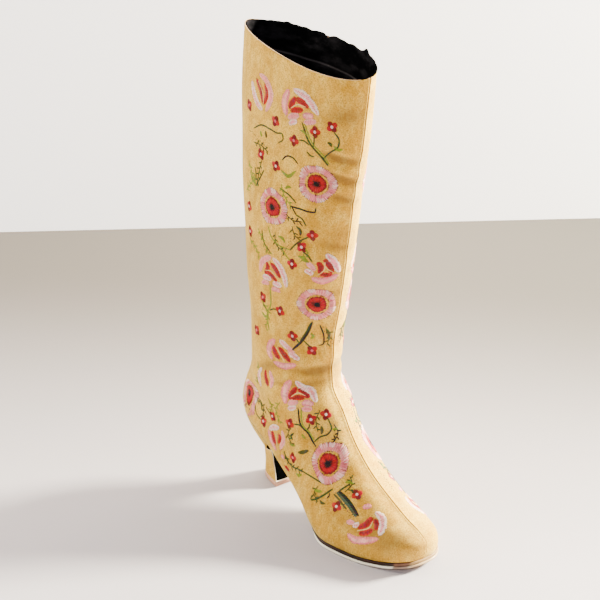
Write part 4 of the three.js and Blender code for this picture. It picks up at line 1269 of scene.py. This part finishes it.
# Every place below is a pixel of the photograph, and every size is in millimetres.
BLOSSOMS = [
    dict(at=(316.5, 184), wide=37, tall=35, tilt=0, heart=9.2, core=2.8),
    dict(at=(272.5, 207), wide=37, tall=34, tilt=0, heart=9.6, core=2.8),
    dict(at=(317, 304.5), wide=37, tall=33, tilt=0, heart=9.0, core=2.8),
    dict(at=(250, 392), wide=36, tall=33, tilt=0, heart=9.0, core=2.8),
    dict(at=(328, 464), wide=36, tall=37, tilt=0, heart=9.8, core=3.4),
]
SMALL_FLOWERS = [
    (275.5, 121), (315, 132), (332, 127), (294, 140.5), (261, 154), (276, 166), (312.4, 235.5),
    (301.6, 247), (292, 264), (263, 297), (280, 311), (292.5, 336), (312, 350.5), (326, 414.5),
    (311, 419.5), (289.5, 423.5), (263.5, 421), (272.5, 416), (293, 457.5), (357, 494.5),
    (336.5, 506.5), (249.5, 105), (249.5, 206), (250.5, 231), (257, 330),
]
FERNS = [
    ([(249, 160), (252, 172), (257, 186)], "lime"),
    ([(262, 160), (259, 172), (257, 184)], "green"),
    ([(247, 190), (252, 182), (256, 178)], "lime"),
    ([(254, 142), (262, 146), (268, 152)], "green"),
    ([(281, 184), (284, 195), (291, 206)], "lime"),
    ([(286, 214), (292, 220), (302, 222)], "dark"),
    ([(258, 228), (263, 240), (269, 254)], "lime"),
    ([(250, 238), (256, 248), (260, 258)], "lime"),
    ([(275, 232), (276, 244), (284, 252)], "green"),
    ([(292, 226), (294, 234), (302, 242)], "olive"),
    ([(300, 262), (305, 258), (309, 252)], "lime"),
    ([(262, 300), (268, 312), (266, 328)], "lime"),
    ([(326, 328), (330, 335), (327, 345)], "olive"),
    ([(258, 362), (259, 372), (257, 382)], "lime"),
    ([(256, 398), (264, 408), (262, 420)], "green"),
    ([(268, 398), (272, 406), (270, 414)], "lime"),
    ([(280, 402), (276, 412), (281, 424)], "lime"),
    ([(291, 428), (288, 436), (293, 446)], "green"),
    ([(320, 410), (316, 420), (318, 432)], "green"),
    ([(334, 424), (338, 432), (334, 442)], "dark"),
    ([(284, 452), (290, 464), (302, 472)], "green"),
    ([(345, 492), (352, 484), (350, 476)], "green"),
    ([(318, 486), (314, 494), (318, 502)], "olive"),
]
SEEDS = [
    ([(335, 494), (342, 503), (351, 517)], "olive"),
    ([(338, 492), (345, 502), (354, 516)], "dark"),
    ([(250, 130), (258, 140), (266, 146)], "olive"),
    ([(296, 236), (288, 244), (281, 256)], "olive"),
    ([(322, 328), (330, 334), (331, 346)], "dark"),
    ([(342, 388), (349, 400), (353, 416), (356, 428)], "olive"),
    ([(346, 392), (352, 404), (358, 420)], "green"),
    ([(378, 468), (386, 480), (394, 490)], "olive"),
]


def rose_high():
    new_motif()
    petals(
        ("pink", 5.4, [(289, 90), (284.5, 103), (286, 115)]),
        ("white", 5.2, [(294, 89), (307, 98), (312, 105), (318, 115)]),
        ("red", 5.0, [(296, 98), (292, 103), (289, 108)]),
        ("red", 5.2, [(296, 98), (303, 103), (308, 108)]),
        ("orange", 4.6, [(291, 110.5), (297, 110), (303, 110.5)]),
        ("blush", 4.4, [(288, 117), (294, 116), (299, 116)]),
        ("pink", 4.4, [(303, 115), (308, 116), (313, 117)]),
        ("white", 3.6, [(289, 123), (293, 122), (297, 121.5)]),
        ("blush", 3.8, [(304, 122), (310, 122), (316, 122)]),
    )
    veins([(291, 108), (298, 104.5), (306, 107)])
    stem([(302, 122), (309, 142), (323, 159), (328, 166)], "green", 1.7)
    stem([(304, 122), (311, 141), (325, 158), (329, 165)], "lime", 1.1)
    stem([(299, 140), (304, 141), (309, 145)])
    stem([(314, 137), (314, 142), (313, 147)])
    stem([(307, 152), (311, 156), (314, 157)])
    stem([(323, 159), (331, 152), (338, 147), (339, 140), (334, 132)], "green", 1.3)
    leaf([(328, 142), (330, 144), (331, 147)], "olive")
    leaf([(334, 146), (338, 150), (343, 150)], "lime", 2.0)
    leaf([(300, 130), (304, 132), (307, 136)], "lime", 2.0)


def rose_top_left():
    new_motif()
    petals(
        ("white", 4.8, [(252.5, 81), (254, 92), (257, 102), (262, 110)]),
        ("blush", 4.8, [(260, 74), (266, 80), (271, 95), (266, 111)]),
        ("red", 5.4, [(257, 79), (261, 90), (263, 103)]),
        ("orange", 4.2, [(265, 84), (267, 94), (264, 104)]),
    )
    veins([(259, 81), (263, 92), (264, 104)])


def rose_middle():
    new_motif()
    petals(
        ("blush", 4.6, [(271, 257), (262, 262), (260, 271)]),
        ("white", 4.8, [(273, 258), (280, 267), (284, 276), (286, 287)]),
        ("red", 5.0, [(267, 262), (268, 267), (265, 273)]),
        ("red", 5.0, [(271, 263), (276, 270), (280, 278)]),
        ("orange", 4.2, [(267, 271), (272, 276), (277, 282)]),
        ("white", 4.0, [(263, 276), (267, 277), (271, 280)]),
        ("blush", 3.8, [(262, 282), (266, 282), (269, 284)]),
        ("white", 4.2, [(273, 283), (277, 284), (281, 287)]),
        ("pink", 3.6, [(272, 289), (276, 289), (280, 292)]),
    )
    veins([(266, 270), (271, 271), (277, 278)])
    stem([(270, 285), (270, 307), (268, 311), (269, 330)], "lime", 1.4)
    stem([(263, 302), (265, 307), (268, 311)])
    stem([(270, 310), (274, 309), (277, 310)])
    leaf([(262, 312), (265, 316), (268, 318)], "lime", 2.0)


def rose_right():
    new_motif()
    petals(
        ("white", 5.0, [(327, 254), (334, 262), (339, 272)]),
        ("pink", 4.8, [(312, 278), (321, 281), (330, 279), (338, 275)]),
        ("red", 5.2, [(318, 262), (321, 267), (319, 274)]),
        ("red", 5.6, [(325, 259), (330, 266), (332, 273)]),
        ("orange", 4.4, [(320, 274), (326, 275), (332, 275)]),
        ("blush", 4.0, [(307, 263), (311, 266), (314, 271)]),
        ("white", 3.8, [(305, 270), (309, 272), (312, 275)]),
    )
    veins([(325, 262), (324, 270), (318, 275)], [(325, 266), (329, 270), (333, 272)])
    leaf([(298, 256), (303, 258), (309, 263)], "lime", 2.4)
    stem([(303, 252), (308, 256), (312, 262)])


def rose_low():
    new_motif()
    petals(
        ("pink", 4.8, [(275, 340), (270, 345), (269, 352), (272, 359)]),
        ("white", 4.2, [(280, 340), (284, 344), (288, 349)]),
        ("blush", 4.0, [(286, 345), (290, 350), (294, 355)]),
        ("white", 4.0, [(289, 353), (294, 356), (299, 360)]),
        ("red", 5.2, [(274, 346), (275, 352), (279, 359)]),
        ("red", 5.0, [(279, 347), (284, 354), (290, 362)]),
        ("pink", 4.6, [(274, 362), (283, 366), (296, 365)]),
    )
    veins([(276, 347), (281, 355), (285, 362)])
    stem([(312.5, 322), (307, 334), (302, 341), (292, 350)], "dark", 2.2)
    stem([(311, 323), (305, 334), (300, 341)], "green", 1.2)
    stem([(299, 343), (296, 339), (292.5, 337)])
    stem([(303, 340), (308, 345), (311, 348)])
    stem([(320, 325), (324, 338), (323, 344), (319, 345.5)], "dark", 1.3)
    leaf([(326, 328), (329, 334), (328, 342)], "olive", 2.6)
    leaf([(311, 333), (313, 336), (311, 339)], "lime", 2.2)


def rose_narrow():
    new_motif()
    petals(
        ("white", 3.4, [(262, 368), (259, 376), (261, 386)]),
        ("red", 4.0, [(266, 370), (266, 378), (268, 386)]),
        ("blush", 3.4, [(270, 371), (272, 379), (271, 388)]),
    )


def rose_ankle():
    new_motif()
    petals(
        ("pink", 5.4, [(291, 381), (285, 390), (284.5, 403)]),
        ("white", 5.2, [(296, 381), (303, 388), (311, 391), (316, 402)]),
        ("red", 5.0, [(297, 388), (292, 393), (289, 399)]),
        ("red", 5.2, [(299, 388), (304, 393), (309, 398)]),
        ("orange", 4.6, [(292, 398.5), (298, 397.5), (304, 398.5)]),
        ("blush", 4.4, [(288, 403), (293, 403), (298, 402.5)]),
        ("pink", 4.4, [(302, 403), (307, 403), (313, 405)]),
        ("white", 3.6, [(288, 408), (292, 408), (296, 407.5)]),
        ("blush", 3.8, [(302, 408.5), (307, 409), (312, 409.5)]),
    )
    veins([(291, 397), (298, 393), (306, 396)])
    stem([(298, 408), (302, 427), (308, 433), (313, 442), (316, 447)], "dark", 1.6)
    stem([(301, 408), (304, 427), (309, 432), (314, 440)], "lime", 1.2)
    stem([(303, 428), (299, 425), (294, 424)])
    stem([(307, 430), (309, 427), (309.5, 424)])
    stem([(314, 442), (320, 437), (328, 434), (331, 430), (328, 418)], "green", 1.3)
    leaf([(322, 426), (322, 430), (321, 434)], "olive")
    leaf([(333, 429), (335.5, 429), (338, 429)], "lime", 2.2)
    stem([(334, 435), (335, 440), (333, 442)], "dark", 1.1)
    leaf([(294, 433), (291, 437), (293, 440)], "green", 1.8)
    leaf([(302, 434), (303, 436), (305, 439)], "lime", 2.0)
    leaf([(290, 444), (292, 445), (295, 446)], "lime", 2.0)
    leaf([(298, 452), (303, 452), (309, 451)], "olive", 3.0)


def rose_heel_side():
    new_motif()
    petals(
        ("white", 4.0, [(269.5, 429), (274, 427), (279, 428)]),
        ("pink", 3.8, [(268.5, 430), (271.5, 440), (276, 450)]),
        ("red", 4.4, [(272.5, 431), (273.5, 438), (275.5, 444)]),
        ("orange", 4.0, [(279, 434), (280, 438), (278.5, 443)]),
        ("blush", 3.8, [(282.5, 431), (283.5, 440), (280.5, 450)]),
    )
    veins([(276, 434), (276.5, 440), (277.5, 446)])
    stem([(255, 395), (262, 404), (261.5, 410)])
    stem([(255, 403), (256, 412), (261, 420)])
    stem([(266, 407), (269, 412), (271, 415)])


def rose_toe():
    new_motif()
    petals(
        ("white", 5.2, [(376, 512), (382, 518), (382, 528), (379, 535)]),
        ("red", 5.6, [(358, 528), (365, 525), (373, 518)]),
        ("red", 4.6, [(375, 519), (377, 525), (375, 530)]),
        ("orange", 4.6, [(359, 533), (366, 532.5), (373, 530)]),
        ("pink", 4.8, [(348, 534), (355, 540), (365, 541), (378, 539)]),
        ("blush", 3.6, [(347, 521), (350, 522), (354, 524)]),
        ("white", 3.6, [(353, 525), (356, 525), (359, 524)]),
        ("pink", 3.6, [(363, 507), (367, 506.5), (371, 507)]),
    )
    veins([(357, 531), (370, 527), (373, 521)])


def vines():
    new_motif()
    stem([(254, 128), (262, 125), (270, 129), (277, 133), (282, 134), (283, 139), (278, 143)])
    leaf([(261, 131), (261, 133), (261.5, 136.5)])
    leaf([(266, 131), (266, 134), (266, 137.5)], "olive")
    stem([(282, 160), (287, 156), (293, 158), (298, 164)], "dark", 1.2)
    leaf([(281, 170), (288, 176), (296, 171)], "lime", 2.6)
    stem([(255, 167), (256, 173), (256, 180)], "green", 1.3)
    stem([(264, 170), (260, 178), (256, 186)])
    leaf([(251, 172), (252, 178), (255, 184)], "lime", 2.0)
    new_motif()
    stem([(280, 188), (290, 196), (296, 203)], "green", 1.3)
    leaf([(285, 188), (288, 187), (291, 188)], "lime", 2.2)
    stem([(290, 206), (300, 209), (310, 212), (315, 212), (316, 208)], "dark", 1.5)
    stem([(292, 207), (294, 211), (296, 215)], "dark", 1.2)
    stem([(296, 215), (302, 219), (306, 226)], "green", 1.2)
    new_motif()
    stem([(268, 226), (272, 238), (280, 246), (290, 250)], "lime", 1.2)
    stem([(262, 230), (264, 242), (270, 252)], "green", 1.2)
    stem([(290, 250), (296, 244), (302, 240), (309, 237)], "green", 1.2)
    stem([(280, 246), (285, 254), (290, 261)], "lime", 1.1)
    leaf([(296, 226), (300, 230), (300, 236)], "olive", 2.2)
    leaf([(278, 236), (282, 238), (285, 243)], "lime", 2.2)


def ferns():
    for at, thread in FERNS:
        new_motif()
        fern(at, thread)
    for at, thread in SEEDS:
        new_motif()
        dots(at, thread)


def foot_vines():
    new_motif()
    stem([(284, 451), (287, 460), (292, 466), (302, 471), (312, 477), (322, 483)], "green", 1.3)
    leaf([(296, 473), (298, 475), (302, 475)])
    petals(
        ("red", 3.2, [(285, 466), (287, 468), (289, 471)]),
        ("pink", 3.0, [(282, 455), (283, 457), (284, 459)]),
    )
    stem([(333, 489), (322, 496), (316, 499), (311, 499), (312, 495)], "green", 1.7)
    leaf([(314, 489), (318, 491), (322, 492)], "lime", 2.4)
    stem([(330, 493), (329, 496), (327, 498)], "dark", 1.1)
    leaf([(320, 500), (322, 503), (325, 504)], "olive", 2.2)
    stem([(339, 491), (345, 487), (350, 484)], "green", 1.4)
    leaf([(345, 482), (349, 482), (353, 484)], "lime", 2.4)
    stem([(339, 491), (344, 496), (350, 503), (358, 516)], "dark", 3.0)
    stem([(337, 492), (342, 498), (348, 505), (356, 517)], "grey", 2.6)
    stem([(334, 494), (340, 501), (346, 509)], "olive", 1.8)
    leaf([(352, 489), (353, 492), (355, 494)], "green", 1.8)


for row in BLOSSOMS:
    blossom(**row)
for number, at in enumerate(SMALL_FLOWERS):
    small_flower(at, turn=(number * 37) % 90, heart="white" if number % 3 else "pink")
for draw in (
    rose_high, rose_top_left, rose_middle, rose_right, rose_low, rose_narrow, rose_ankle, rose_heel_side,
    rose_toe, vines, ferns, foot_vines,
):
    draw()

ZIP_KEEP, MOST_SHIFT = 8.0, 16  # kept clear of the zip's line, and how far a motif may move for that
INNER_SHIFT = 5.5


def mirrored(ends, sizes, colors, motifs):
    """The outer side's work on the inner side; a motif moves clear of the zip or is cut where it crosses."""
    _, at = np.unique(motifs, return_inverse=True)
    mean = np.bincount(at, ends[:, [1, 3]].mean(axis=1)) / np.bincount(at)
    outer = (mean < 0)[at]
    ends, sizes, colors, motifs = ends[outer], sizes[outer], colors[outer], motifs[outer]
    other = ends.copy()
    other[:, [1, 3]] = INNER_SHIFT - other[:, [1, 3]]
    keep = np.ones(len(other), bool)
    for motif in np.unique(motifs):
        rows = motifs == motif
        us, vs = other[rows][:, [0, 2]], other[rows][:, [1, 3]]
        line = np.interp(us, skin_map.us, skin_map.zip_arc)
        near = us > ZIP_END - ZIP_KEEP
        if not near.any():
            continue
        gap = vs - line
        low, high = gap[near].min(), gap[near].max()
        if low < ZIP_KEEP and high > -ZIP_KEEP:
            past, short = ZIP_KEEP - low, -(high + ZIP_KEEP)
            shift = past if abs(past) < abs(short) else short
            if abs(shift) < MOST_SHIFT:
                other[np.ix_(rows, [1, 3])] += shift
            else:
                crossing = (np.abs(gap) < ZIP_KEEP) & near
                keep[np.flatnonzero(rows)[crossing.any(axis=1)]] = False
    return other[keep], sizes[keep], colors[keep], motifs[keep]


outer_work = work.arrays()
inner_work = mirrored(*outer_work)


def make_stitches(name, ends, sizes, colors):
    """One mesh of raised strips, four stations long and three points wide."""
    shares = STITCH_SHARES[None, :]
    u = ends[:, 0:1] * (1 - shares) + ends[:, 2:3] * shares
    v = ends[:, 1:2] * (1 - shares) + ends[:, 3:4] * shares
    places, normals = skin_map.place(u, v), skin_map.normal(u, v)
    way = unit(places[:, -1] - places[:, 0])[:, None]
    side = unit(np.cross(normals, np.repeat(way, 4, axis=1)))
    width, rise, lift = (sizes[:, k][:, None, None] for k in range(3))
    crown = (STITCH_HEIGHTS[None, :, None] * rise) + lift
    narrow = STITCH_WIDTHS[None, :, None] * width / 2
    edge = lift * STITCH_EDGES[None, :, None] - STITCH_SUNK
    low = places + normals * edge
    rows = np.stack([low - side * narrow, places + normals * crown, low + side * narrow], axis=2)
    points = rows.reshape(-1, 3)
    start = np.arange(len(ends))[:, None] * STITCH_POINTS
    corners = [3 * s + k for s in range(3) for k in range(2)]
    pattern = [(a, a + 3, a + 4, a + 1) for a in corners]
    faces = (start[:, :, None] + np.array(pattern)[None]).reshape(-1, 4)
    piece = make_piece(name, points, faces.tolist(), THREAD, "suede")
    tint = piece.data.attributes.new("thread", "FLOAT_COLOR", "POINT")
    each = np.repeat(np.concatenate([colors, np.ones((len(colors), 1))], axis=1), STITCH_POINTS, axis=0)
    tint.data.foreach_set("color", each.astype(np.float32).ravel())


make_stitches("embroidery_outer", *outer_work[:3])
make_stitches("embroidery_inner", *inner_work[:3])

# The zip's teeth: pitch, size across, along and out, and how far a tooth narrows to its top
TOOTH_PITCH, TOOTH, TOOTH_TOP = 1.25, (2.6, 0.75, 1.5), 0.78


def make_teeth():
    """Two rows of teeth on the tape, one after the other from side to side."""
    points, faces = [], []
    distances = COLLAR - np.arange(2.5, ZIP_LENGTH - 3, TOOTH_PITCH)
    angles = zip_angle(distances)
    here = surface(distances, angles)
    beside = surface(distances, angles + 0.01)
    above = surface(distances + 0.5, angles)
    across = unit(beside - here)
    normal = unit(np.cross(across, above - here))
    middle = (surface(distances, 0.0) + surface(distances, math.pi)) * 0.5
    normal = normal * np.sign(np.sum(normal * (here - middle), axis=1))[:, None]
    up = np.cross(normal, across)
    for n in range(len(distances)):
        side = 1 if n % 2 else -1
        centre = here[n] + across[n] * side * 0.75 - normal[n] * 0.25
        base = len(points)
        for dz in (-0.5, 0.5):
            for dx, dy in ((-0.5, -0.5), (0.5, -0.5), (0.5, 0.5), (-0.5, 0.5)):
                top = TOOTH_TOP if dz > 0 else 1
                offset = across[n] * dx * TOOTH[0] * top + up[n] * dy * TOOTH[1] * top
                points.append(centre + offset + normal[n] * dz * TOOTH[2])
        for quad in ((0, 3, 2, 1), (4, 5, 6, 7), (0, 1, 5, 4), (1, 2, 6, 5), (2, 3, 7, 6), (3, 0, 4, 7)):
            faces.append(tuple(base + q for q in quad))
    make_piece("zip_teeth", points, faces, ENAMEL, "dark_metal", smooth=False)


make_teeth()

for node, material in dict(
    zip_tape=ZIP_CLOTH, zip_chain=ZIP_CLOTH, insole=LINING, zip_slider=ENAMEL, pull_tab=ENAMEL,
).items():
    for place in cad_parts[node].material_slots:
        place.link = "OBJECT"
        place.material = material


# Floor, wall, lights and camera
def floor_under(px, py):
    way = ray(px, py)
    return eye + way * (-eye[2] / way[2])


def stage_piece(name, corners, material):
    make_piece(name, corners, [(0, 1, 2, 3)], material, smooth=False)


def floor_material():
    floor = Shader("studio_floor", srgb("#d8d2cf"), 0.55, **{"Specular IOR Level": 0.3})
    split = floor.add("ShaderNodeSeparateXYZ")
    turned = floor.add("ShaderNodeVectorRotate", rotation_type="Z_AXIS")
    turned.inputs["Angle"].default_value = -AZIMUTH
    floor.link(floor.coords, turned.inputs["Vector"])
    floor.link(turned.outputs["Vector"], split.inputs["Vector"])
    # Painted shade: the floor drawn darker towards the back, and darker again on the key light's side.
    near_far = floor.ramp(split.outputs["Y"], -0.3, 0.5)
    key_side = floor.ramp(split.outputs["X"], 0.0, 0.55, 0, 0.8)
    tone = floor.mix(near_far, srgb("#bcb3b9"), srgb("#5a524c"))
    floor.color(floor.mix(floor.multiply(near_far, key_side), tone, srgb("#37332e")))
    return floor.material


def wall_material():
    # The wall glows though it is no lamp: its emission brightens it and lights the boot's edges from behind.
    return Shader("studio_wall", srgb("#f4eff1"), 0.9, **{
        "Specular IOR Level": 0.1, "Emission Strength": 1.15, "Emission Color": (1, 0.965, 0.99, 1),
    }).material


# Where the wall meets the floor at the photograph's left and right edges
WALL_FOOT_LEFT, WALL_FOOT_RIGHT = (0, 232), (600, 218)
FLOOR_DEPTH, WALL_HEIGHT = 6000, 3000
left_foot, right_foot = floor_under(*WALL_FOOT_LEFT), floor_under(*WALL_FOOT_RIGHT)
run = right_foot - left_foot
left_end, right_end = left_foot - run * 3, right_foot + run * 3
depth = -toward * np.array([1, 1, 0]) * FLOOR_DEPTH
stage_piece("studio_floor", [left_end, right_end, right_end - depth, left_end - depth], floor_material())
height = np.array([0, 0, WALL_HEIGHT])
stage_piece("studio_wall", [left_end, right_end, right_end + height, left_end + height], wall_material())


def light(name, place, aim, size, power, color):
    lamp = bpy.data.lights.new(name, "AREA")
    lamp.shape = "DISK"
    lamp.size, lamp.energy, lamp.color = size * MM, power, color
    thing = bpy.data.objects.new(name, lamp)
    bpy.context.scene.collection.objects.link(thing)
    thing.location = Vector(np.array(place, float) * MM)
    way = Vector((np.array(aim, float) - np.array(place, float)).tolist())
    thing.rotation_euler = way.to_track_quat("-Z", "Y").to_euler()


middle = np.array([0, -60, 230.0])
flat_toward = unit(toward * np.array([1, 1, 0]))
WARM = (0.98, 0.95, 0.74)
# Each light: to the camera's right, towards the camera and up, from the boot's middle; then size and watts
for name, right, nearer, up, size, power, color in (
    ("key", 1650, -700, 620, 420, 560, WARM),
    ("side", -1600, -300, 900, 900, 60, WARM),
    ("fill", 500, 2000, 1500, 1300, 40, (1, 1, 1)),
):
    place = middle + level_right * right + flat_toward * nearer + np.array([0, 0, up])
    light(name, place, middle, size, power, color)

world = bpy.data.worlds.new("studio")
bpy.context.scene.world = world
world.use_nodes = True
world.node_tree.nodes["Background"].inputs["Color"].default_value = (1, 1, 1, 1)
world.node_tree.nodes["Background"].inputs["Strength"].default_value = 0.18

camera_data = bpy.data.cameras.new("camera")
camera_data.sensor_width = SENSOR
camera_data.lens = FOCAL_PIXELS / FRAME_PIXELS * SENSOR
camera_data.clip_end = 20
camera = bpy.data.objects.new("camera", camera_data)
bpy.context.scene.collection.objects.link(camera)
camera.matrix_world = Matrix([
    [view_right[k], view_up[k], toward[k], eye[k] * MM] for k in range(3)
] + [[0, 0, 0, 1]])
bpy.context.scene.camera = camera
